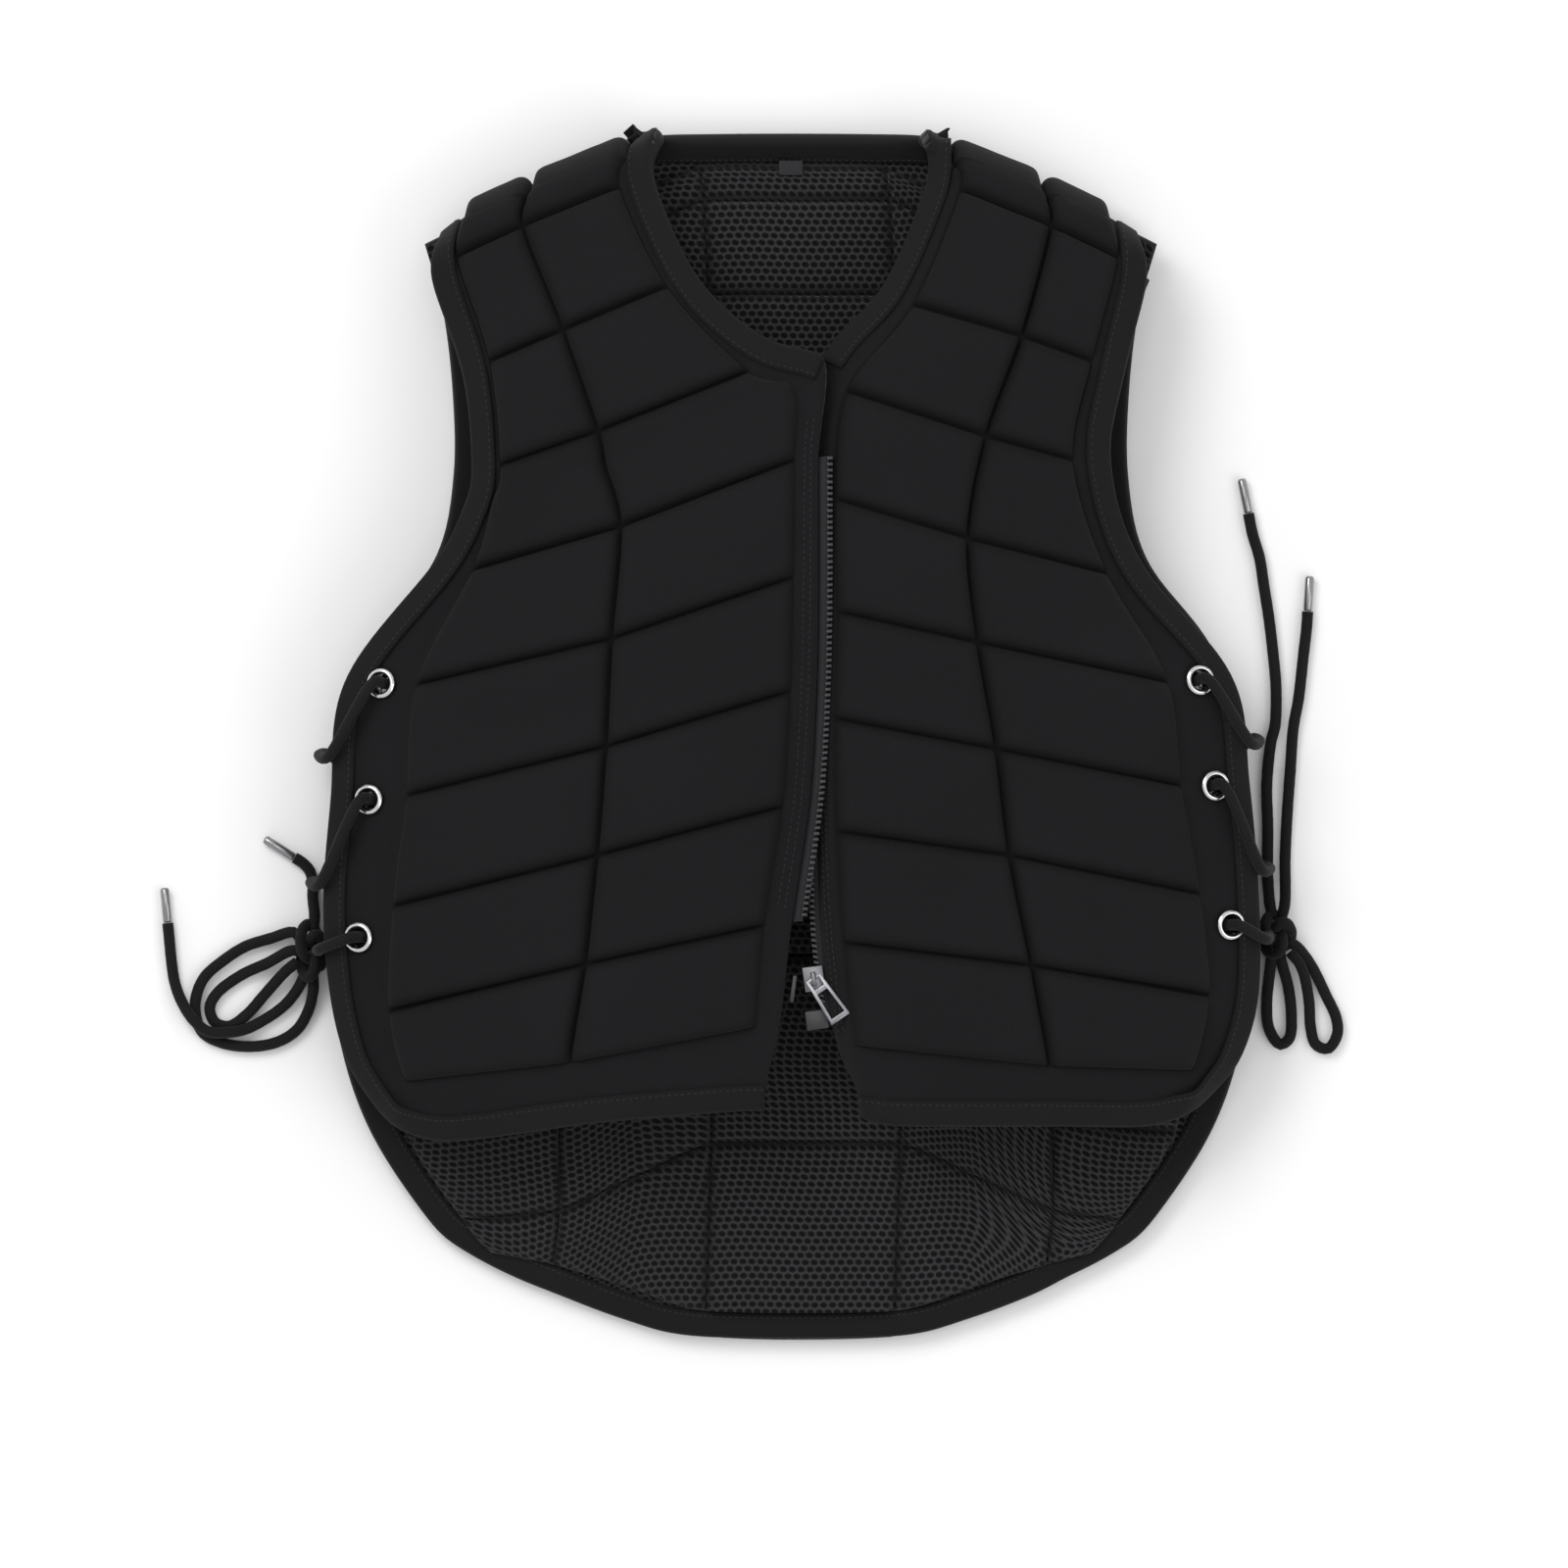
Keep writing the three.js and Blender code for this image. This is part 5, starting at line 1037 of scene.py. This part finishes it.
def held_route(side, sign):
    """From the knot over the band, down through the eyelets and round both edges, in mm."""
    sheet = sheets[side]
    shift = FOLD_ROWS if side == "left" else FOLD_ROWS - 1
    clear = LACE / MM / 2 + LACE_CLEAR
    face = BAND_REACH / 2 + TOUCH_GAP + EYELET_WALL
    def over(row):
        edge, up, out = band_frame(sheet, row + shift)
        top = edge + up * (BAND_REACH / 2 + clear + BINDING_WALL)
        return top, edge + out * (BINDING_WALL + CAD_SLOT + clear + LACE_SLACK)
    knot = np.array(KNOTS[side][0]) + SHIFT
    points = [knot + [-sign * KNOT_EXIT[0], 0, KNOT_EXIT[1]], over(EYELET_ROWS[2] + LACE_LEAN)[0]]
    for k in (2, 1, 0):
        front, up = (np.array(x) for x in eyelet_frames[f"eyelet_front_{side}_{k + 1}"])
        low, low_up = (np.array(x) for x in eyelet_frames[f"eyelet_back_{side}_{k + 1}"])
        front, low = front / MM, low / MM
        _, _, out = band_frame(sheet, EYELET_ROWS[k] + shift)
        points += [front + up * (face + clear) + out * 2, front, front - up * (face + 1)]
        if k == 0:
            break
        points += [low + low_up * face, low, low - low_up * (face + clear) + [sign, 0, 0]]
        top, outer = over((EYELET_ROWS[k] + EYELET_ROWS[k - 1]) / 2 + LACE_LEAN)
        under = np.array([outer[0] - sign * LACE_SLACK, outer[1], BACK_CURL - BAND_REACH / 2 - clear])
        middle = np.array([outer[0] + sign * LACE_SLACK / 2, outer[1], (BACK_CURL + outer[2]) / 2])
        points += [under, middle, top]
    return np.array(points)


for side, sign in (("left", -1), ("right", 1)):
    line = catmull(held_route(side, sign), 12) * MM
    centres, travelled = resample(line, 0.002)
    data = to_mesh(sweep(cord_rings(centres, LACE / 2, dent=0.012), travelled), "held_" + side)
    add_piece("held_" + side, data, [], replaces=["lace_held_" + side], slot="lace_cord")
    print("held lace", side, round(travelled[-1], 3), "m")

# %% [markdown]
# A cord's tip is dipped or shrunk into a hard sleeve. Its profile is spun: straight sides, a rounded
# end, and a small step where the sleeve starts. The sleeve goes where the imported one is.

# %% Cord tips
AGLET_RADIUS, AGLET_LENGTH = 2.2, 17.0


def aglet(name, node, heading):
    half = AGLET_LENGTH / 2
    profile = [(0.0, -half), (AGLET_RADIUS - 0.5, -half), (AGLET_RADIUS, -half + 0.6),
               (AGLET_RADIUS, half - 1.2), (AGLET_RADIUS - 0.35, half - 0.4), (AGLET_RADIUS - 1.0, half),
               (0.0, half)]
    bm = bmesh.new()
    verts = [bm.verts.new((r * MM, 0, z * MM)) for r, z in profile]
    edges = [bm.edges.new(pair) for pair in zip(verts, verts[1:])]
    bmesh.ops.spin(bm, geom=verts + edges, cent=(0, 0, 0), axis=(0, 0, 1), angle=2 * math.pi,
                   steps=24, use_merge=True, use_duplicate=False)
    bmesh.ops.remove_doubles(bm, verts=bm.verts, dist=0.00001)
    bmesh.ops.recalc_face_normals(bm, faces=bm.faces)
    low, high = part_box(node)
    turn = Vector((0, 0, 1)).rotation_difference(Vector((*heading, 0))).to_matrix().to_4x4()
    bmesh.ops.transform(bm, matrix=Matrix.Translation((low + high) / 2) @ turn, verts=bm.verts)
    return add_piece(name, to_mesh(bm, name), [], replaces=[node], slot="aglet_plastic")


for name, route in LACE_ROUTES.items():
    if "tail" in name:
        heading = unit(np.array(route[-1][:2], float) - np.array(route[-2][:2], float))
        aglet(name.replace("lace_tail", "tip"), name.replace("tail", "aglet"), heading)

# %% [markdown]
# Seams show as rows of short stitches. One stitch is a tiny capsule, half sunk in the cloth. Along
# each binding they follow its inner edge, and two rows run down the strip beside the zip, as they
# hold the tape there. A stitch has few faces, because there are more than a thousand.

# %% Stitches
STITCH_LENGTH, STITCH_PITCH, STITCH_RADIUS = 2.1, 3.1, 0.32


def stitch_row(bm, points, ups, travelled):
    """Adds stitches along a line of points in mm that lies on a surface."""
    count = int(travelled[-1] / STITCH_PITCH)
    tangents = unit(np.gradient(points, axis=0))
    for k in range(count):
        where = (k + 0.5) * STITCH_PITCH
        mix = [np.array([np.interp(where, travelled, a[:, i]) for i in range(3)])
               for a in (points, ups, tangents)]
        point, up, along = mix[0], unit(mix[1]), unit(mix[2])
        side = np.cross(up, along)
        made = bmesh.ops.create_icosphere(bm, subdivisions=1, radius=1.0)
        basis = Matrix(np.column_stack([along, side, up]).tolist()).to_4x4()
        scale = Matrix.Diagonal((STITCH_LENGTH / 2 * MM, STITCH_RADIUS * MM, STITCH_RADIUS * MM, 1))
        place = Matrix.Translation(Vector(point * MM)) @ basis @ scale
        bmesh.ops.transform(bm, matrix=place, verts=made["verts"])
    return count


def seam_on_binding(line, sign, face):
    """The stitch line on one face of a binding."""
    points, ups, tangents, travelled = line
    inward = unit(np.cross(ups, tangents)) * sign
    top = EDGE_THICKNESS / 2 + SLOT_GAP + BINDING_WALL
    return points + inward * (BINDING_WIDTH - 2.2) + ups * (top + 0.05) * face, ups, travelled


bm = bmesh.new()
total = 0
for line, middle in ((front_lines["left"], (-100, 0, 60)), (front_lines["right"], (100, 0, 60)),
                     (back_line, (0, 0, 10)), (neck_line, (0, 200, 10))):
    for face in (1, -1):
        points, ups, travelled = seam_on_binding(line, inward_of(line, middle), face)
        keep = points[:, 2] > 0.6
        if keep.all():
            total += stitch_row(bm, points, ups, travelled)
add_piece("binding_stitches", to_mesh(bm, "binding_stitches"), [], slot="edge_binding")
bm = bmesh.new()
for side in ("left", "right"):
    sheet = sheets[side]
    start, end = ZIP_ROWS[side]
    v = np.linspace(start - 0.4, end - 0.1, 160)
    for share in (0.34, 0.62):
        u = np.full_like(v, share)
        points = sheet.middle(u, v)
        across = sheet.middle(u + 0.05, v) - points
        ups = unit(np.cross(np.gradient(points, axis=0), across))
        ups *= np.sign(ups[:, 2:3])
        points = points + ups * (EDGE_THICKNESS / 2 + 0.05)
        steps = np.linalg.norm(np.diff(points, axis=0), axis=1)
        total += stitch_row(bm, points, ups, np.concatenate([[0], np.cumsum(steps)]))
add_piece("zip_stitches", to_mesh(bm, "zip_stitches"), [], slot="quilted_fabric")
print("stitches:", total)

# %% [markdown]
# Finishes come last. Several black cloths share the same effects at different sizes, so each effect
# is a node group: a woven cloth, an open net, a braid, and dust that lies on a worn surface. A group
# puts out a height and masks, and the shader itself stays in the material.

# %% Effect groups


def new_group(name, inputs, outputs):
    """A shader node group with named number inputs and outputs."""
    group = bpy.data.node_groups.new(name, "ShaderNodeTree")
    for label, default in inputs:
        socket = group.interface.new_socket(label, in_out="INPUT", socket_type=(
            "NodeSocketVector" if default is None else "NodeSocketFloat"))
        if default is not None:
            socket.default_value = default
    for label in outputs:
        group.interface.new_socket(label, in_out="OUTPUT", socket_type="NodeSocketFloat")
    return group, group.nodes.new("NodeGroupInput"), group.nodes.new("NodeGroupOutput")


def math_node(tree, operation, a, b=None, clamp=False):
    """A Math node whose inputs are sockets or numbers."""
    node = tree.nodes.new("ShaderNodeMath")
    node.operation, node.use_clamp = operation, clamp
    for k, value in enumerate((a, b)):
        if value is None:
            continue
        if isinstance(value, (int, float)):
            node.inputs[k].default_value = value
        else:
            tree.links.new(value, node.inputs[k])
    return node.outputs[0]


def split_scaled(tree, vector, scale):
    """The x and y of a vector, each times a scale."""
    parts = tree.nodes.new("ShaderNodeSeparateXYZ")
    tree.links.new(vector, parts.inputs[0])
    return [math_node(tree, "MULTIPLY", parts.outputs[k], scale) for k in (0, 1)]


def woven_group():
    """Plain weave: threads over and under, as a height from 0 to 1."""
    group, given, out = new_group("woven cloth", [("Place", None), ("Threads", 1800.0)], ["Height"])
    x, y = split_scaled(group, given.outputs["Place"], given.outputs["Threads"])
    warp = math_node(group, "ABSOLUTE", math_node(group, "SINE", math_node(group, "MULTIPLY", x, math.pi)))
    weft = math_node(group, "ABSOLUTE", math_node(group, "SINE", math_node(group, "MULTIPLY", y, math.pi)))
    steps = math_node(group, "ADD", math_node(group, "FLOOR", x), math_node(group, "FLOOR", y))
    over = math_node(group, "FLOORED_MODULO", steps, 2.0)
    under = math_node(group, "SUBTRACT", 1.0, over)
    threads = []
    for thread, share in ((warp, over), (weft, under)):
        raised = math_node(group, "ADD", math_node(group, "MULTIPLY", share, 0.5), 0.5)
        threads.append(math_node(group, "MULTIPLY", thread, raised))
    group.links.new(math_node(group, "MAXIMUM", *threads), out.inputs["Height"])
    return group


def net_group():
    """Open spacer net: rows of oval holes, each second row shifted by half."""
    group, given, out = new_group("open net", [("Place", None), ("Holes", 230.0), ("Size", 0.34)],
                                  ["Height", "Hole"])
    x, y = split_scaled(group, given.outputs["Place"], given.outputs["Holes"])
    y = math_node(group, "MULTIPLY", y, 1.25)
    row = math_node(group, "FLOOR", y)
    shifted = math_node(group, "ADD", x, math_node(group, "MULTIPLY", row, 0.5))
    dx = math_node(group, "SUBTRACT", math_node(group, "FRACT", shifted), 0.5)
    dy = math_node(group, "SUBTRACT", math_node(group, "FRACT", y), 0.5)
    squares = [math_node(group, "MULTIPLY", d, d) for d in (dx, dy)]
    distance = math_node(group, "SQRT", math_node(group, "ADD", *squares))
    edge = math_node(group, "SUBTRACT", distance, given.outputs["Size"])
    height = math_node(group, "MULTIPLY", edge, 6.0, clamp=True)
    group.links.new(height, out.inputs["Height"])
    group.links.new(math_node(group, "SUBTRACT", 1.0, height), out.inputs["Hole"])
    return group


def braid_group():
    """Braided cover of a cord: two sets of strands that cross at a slant."""
    group, given, out = new_group("braid", [("Place", None), ("Strands", 700.0)], ["Height"])
    x, y = split_scaled(group, given.outputs["Place"], given.outputs["Strands"])
    heights = []
    for operation in ("ADD", "SUBTRACT"):
        slant = math_node(group, operation, x, y)
        heights.append(math_node(group, "ABSOLUTE", math_node(
            group, "SINE", math_node(group, "MULTIPLY", slant, math.pi / 2))))
    group.links.new(math_node(group, "MULTIPLY", *heights), out.inputs["Height"])
    return group


def dust_group():
    """Slow cloudiness and fine lint of used black cloth, from 0 to 1."""
    group, given, out = new_group("dust", [("Place", None), ("Cloud", 14.0), ("Lint", 900.0)],
                                  ["Cloudiness", "Lint"])
    for label, detail in (("Cloud", 4.0), ("Lint", 1.0)):
        node = group.nodes.new("ShaderNodeTexNoise")
        node.inputs["Detail"].default_value = detail
        group.links.new(given.outputs["Place"], node.inputs["Vector"])
        group.links.new(given.outputs[label], node.inputs["Scale"])
        target = "Cloudiness" if label == "Cloud" else "Lint"
        group.links.new(node.outputs["Fac"], out.inputs[target])
    return group


GROUPS = {"woven": woven_group(), "net": net_group(), "braid": braid_group(), "dust": dust_group()}
print("groups:", ", ".join(sorted(GROUPS)))

# %% [markdown]
# Black cloth is never one flat black. The cover is a tight matt weave, a little cloudy, and a painted
# shade darkens it in the sewn channels, where little light reaches. The ground colours are very
# dark. A number on each point of a panel says how full the foam is there, and it sets how much painted
# shade lies in the channels. The holes of the lining net are painted far darker than its threads, as
# painted shade for the hollow behind them.

# %% Materials


def start_material(name):
    """A material with its Principled shader, and the place of each point on the object."""
    material = bpy.data.materials.get(name) or bpy.data.materials.new(name)
    material.use_nodes = True
    tree = material.node_tree
    shader = tree.nodes["Principled BSDF"]
    place = tree.nodes.new("ShaderNodeTexCoord")
    return material, tree, shader, place


def use_group(tree, name, place, **values):
    """Places an effect group and sets its named numbers."""
    node = tree.nodes.new("ShaderNodeGroup")
    node.node_tree = GROUPS[name]
    tree.links.new(place, node.inputs["Place"])
    for label, value in values.items():
        node.inputs[label].default_value = value
    return node.outputs


def mixed_colour(tree, factor, dark, light):
    """A colour between two, by a factor."""
    ramp = tree.nodes.new("ShaderNodeMix")
    ramp.data_type = "RGBA"
    tree.links.new(factor, ramp.inputs["Factor"])
    ramp.inputs["A"].default_value = (*dark, 1)
    ramp.inputs["B"].default_value = (*light, 1)
    return ramp.outputs["Result"]


def add_bump(tree, shader, heights):
    """Chains Bump nodes: pairs of a height and its distance in metres."""
    normal = None
    for height, distance, strength in heights:
        bump = tree.nodes.new("ShaderNodeBump")
        bump.inputs["Distance"].default_value = distance
        bump.inputs["Strength"].default_value = strength
        tree.links.new(height, bump.inputs["Height"])
        if normal is not None:
            tree.links.new(normal, bump.inputs["Normal"])
        normal = bump.outputs["Normal"]
    tree.links.new(normal, shader.inputs["Normal"])


def painted_channel_shade(tree, colour):
    """Painted shade: a colour that falls off towards the sewn channels, where little light reaches."""
    fullness = tree.nodes.new("ShaderNodeAttribute")
    fullness.attribute_name = "fullness"
    share = math_node(tree, "MULTIPLY_ADD", fullness.outputs["Fac"], 1 - CHANNEL_SHADE)
    share.node.inputs[2].default_value = CHANNEL_SHADE
    mix = tree.nodes.new("ShaderNodeMix")
    mix.data_type, mix.blend_type = "RGBA", "MULTIPLY"
    mix.inputs["Factor"].default_value = 1
    tree.links.new(colour, mix.inputs["A"])
    tree.links.new(share, mix.inputs["B"])
    return mix.outputs["Result"]


def cloth_material(name, dark, light, roughness, sheen, weave, cloud=14.0, braid=False, foam=False):
    """A matt cloth with a weave or braid, cloudy colour and lint; with foam, painted shade in its
    channels.
    """
    material, tree, shader, place = start_material(name)
    uv, spot = place.outputs["UV"], place.outputs["Object"]
    if braid:
        pattern = use_group(tree, "braid", uv, Strands=weave)["Height"]
    else:
        pattern = use_group(tree, "woven", uv, Threads=weave)["Height"]
    dust = use_group(tree, "dust", spot, Cloud=cloud)
    level = math_node(tree, "MULTIPLY", dust["Cloudiness"], 0.7)
    level = math_node(tree, "ADD", level, math_node(tree, "MULTIPLY", pattern, 0.3))
    level = math_node(tree, "ADD", level, math_node(
        tree, "MULTIPLY", math_node(tree, "SUBTRACT", dust["Lint"], 0.5), 0.35), clamp=True)
    colour = mixed_colour(tree, level, dark, light)
    # With foam, painted shade darkens the colour towards the channels.
    tree.links.new(painted_channel_shade(tree, colour) if foam else colour, shader.inputs["Base Color"])
    rough = math_node(tree, "ADD", roughness - 0.06, math_node(tree, "MULTIPLY", dust["Cloudiness"], 0.12))
    tree.links.new(rough, shader.inputs["Roughness"])
    shader.inputs["Sheen Weight"].default_value = sheen
    shader.inputs["Sheen Roughness"].default_value = 0.5
    shader.inputs["Specular IOR Level"].default_value = 0.12
    add_bump(tree, shader, [(dust["Lint"], 0.0002, 0.25), (pattern, 0.00025, 0.5)])
    return material


def net_material():
    """The black spacer net of the lining, with painted shade in its holes and its channels."""
    material, tree, shader, place = start_material("lining net")
    net = use_group(tree, "net", place.outputs["UV"], Holes=230.0, Size=0.3)
    dust = use_group(tree, "dust", place.outputs["Object"], Cloud=10.0)
    threads = mixed_colour(tree, dust["Cloudiness"], (0.016, 0.016, 0.018), (0.030, 0.030, 0.033))
    # Painted shade: the holes are coloured far darker than the threads, for the shaded hollow behind the
    # net.
    hole = tree.nodes.new("ShaderNodeMix")
    hole.data_type = "RGBA"
    tree.links.new(net["Hole"], hole.inputs["Factor"])
    tree.links.new(threads, hole.inputs["A"])
    hole.inputs["B"].default_value = (0.0012, 0.0012, 0.0014, 1)
    # Painted shade in the channels, as on the cover.
    tree.links.new(painted_channel_shade(tree, hole.outputs["Result"]), shader.inputs["Base Color"])
    tree.links.new(math_node(tree, "ADD", 0.62, math_node(tree, "MULTIPLY", net["Hole"], 0.3)),
                   shader.inputs["Roughness"])
    shader.inputs["Sheen Weight"].default_value = 0.1
    shader.inputs["Specular IOR Level"].default_value = 0.15
    add_bump(tree, shader, [(dust["Lint"], 0.0002, 0.2), (net["Height"], 0.0009, 0.9)])
    return material


def hard_material(name, base, roughness, metallic, scratch=0.08, spread=0.25):
    """Metal or moulded plastic with fine scratches and a cloudy polish."""
    material, tree, shader, place = start_material(name)
    dust = use_group(tree, "dust", place.outputs["Object"], Cloud=120.0, Lint=2600.0)
    paler = tuple(min(1.0, c * (1 + spread)) for c in base)
    darker = tuple(c * (1 - spread) for c in base)
    tree.links.new(mixed_colour(tree, dust["Cloudiness"], darker, paler), shader.inputs["Base Color"])
    rough = math_node(tree, "MULTIPLY", dust["Lint"], scratch * 2)
    tree.links.new(math_node(tree, "ADD", roughness - scratch, rough), shader.inputs["Roughness"])
    shader.inputs["Metallic"].default_value = metallic
    add_bump(tree, shader, [(dust["Lint"], 0.00006, 0.25)])
    return material


# Painted shade: a channel's floor keeps this share of the cloth's colour.
CHANNEL_SHADE = 0.3  # how light a channel's floor is beside a block's top
# The cover gets painted shade in its channels (foam=True).
COVER = cloth_material("cover cloth", (0.0045, 0.0045, 0.0052), (0.0105, 0.0102, 0.0115), 0.85,
                       0.03, 1500.0, foam=True)
NET = net_material()
BAND = cloth_material("binding tape", (0.004, 0.004, 0.0045), (0.009, 0.009, 0.0098), 0.7,
                      0.03, 2100.0, cloud=30.0)
TAPE_CLOTH = cloth_material("zip tape cloth", (0.012, 0.012, 0.014), (0.026, 0.026, 0.029), 0.66,
                            0.12, 2400.0)
CORD_CLOTH = cloth_material("cord braid", (0.003, 0.003, 0.0035), (0.012, 0.012, 0.0135), 0.8,
                            0.05, 800.0, braid=True)
TAB_CLOTH = cloth_material("tab cloth", (0.018, 0.018, 0.02), (0.03, 0.03, 0.033), 0.7, 0.1, 2600.0)
THREAD = cloth_material("sewing thread", (0.014, 0.014, 0.016), (0.032, 0.032, 0.035), 0.55, 0.1, 2600.0)
TEETH_PLASTIC = hard_material("zip teeth plastic", (0.014, 0.014, 0.016), 0.34, 0.0)
NICKEL = hard_material("nickel", (0.72, 0.72, 0.73), 0.2, 1.0, scratch=0.06, spread=0.08)
GUNMETAL = hard_material("gunmetal", (0.16, 0.16, 0.17), 0.3, 1.0, scratch=0.1, spread=0.15)
TIP_PLASTIC = hard_material("tip sleeve", (0.3, 0.3, 0.31), 0.24, 0.85)
FINISHES = {
    "edge_binding": [BAND], "zip_tape": [TAPE_CLOTH], "zip_teeth": [TEETH_PLASTIC],
    "gunmetal": [GUNMETAL], "nickel": [NICKEL], "lace_cord": [CORD_CLOTH],
    "aglet_plastic": [TIP_PLASTIC], "tab_fabric": [TAB_CLOTH], "quilted_fabric": [COVER, NET],
}
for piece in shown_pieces():
    finish = FINISHES[piece["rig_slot"]] if "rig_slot" in piece else None
    if piece.name.endswith("_stitches"):
        finish = [THREAD]
    if finish and not piece.data.materials:
        for material in finish:
            piece.data.materials.append(material)

# %% [markdown]
# The floor is a wide pale sheet, and the light is soft from all sides with one large lamp, so the
# blocks cast short soft shadows into their channels.

# %% Floor and light
bm = bmesh.new()
bmesh.ops.create_grid(bm, x_segments=1, y_segments=1, size=6.0)
floor = bpy.data.objects.new("floor", to_mesh(bm, "floor"))
floor.location.z = -0.0004
floor_material = bpy.data.materials.new("floor")
floor_material.use_nodes = True
floor_shader = floor_material.node_tree.nodes["Principled BSDF"]
floor_shader.inputs["Base Color"].default_value = (0.86, 0.86, 0.86, 1)
floor_shader.inputs["Roughness"].default_value = 0.9
floor.data.materials.append(floor_material)
bpy.context.scene.collection.objects.link(floor)

world = bpy.data.worlds.new("world")
world.use_nodes = True
world.node_tree.nodes["Background"].inputs["Color"].default_value = (1, 1, 1, 1)
world.node_tree.nodes["Background"].inputs["Strength"].default_value = 0.75
bpy.context.scene.world = world
for name, where, size, power in (
    ("key", (-1.1, 1.3, 2.2), 1.4, 30.0), ("fill", (1.6, -0.9, 1.9), 1.8, 12.0),
    ("top", (0, 0.2, 2.8), 1.2, 8.0)
):
    lamp = bpy.data.lights.new(name, "AREA")
    lamp.shape, lamp.size, lamp.energy = "DISK", size, power
    light = bpy.data.objects.new(name, lamp)
    light.location = where
    light.rotation_euler = (-Vector(where)).to_track_quat("-Z", "Y").to_euler()
    bpy.context.scene.collection.objects.link(light)
bpy.context.scene.view_settings.view_transform = "Standard"
print("lamps:", 3)
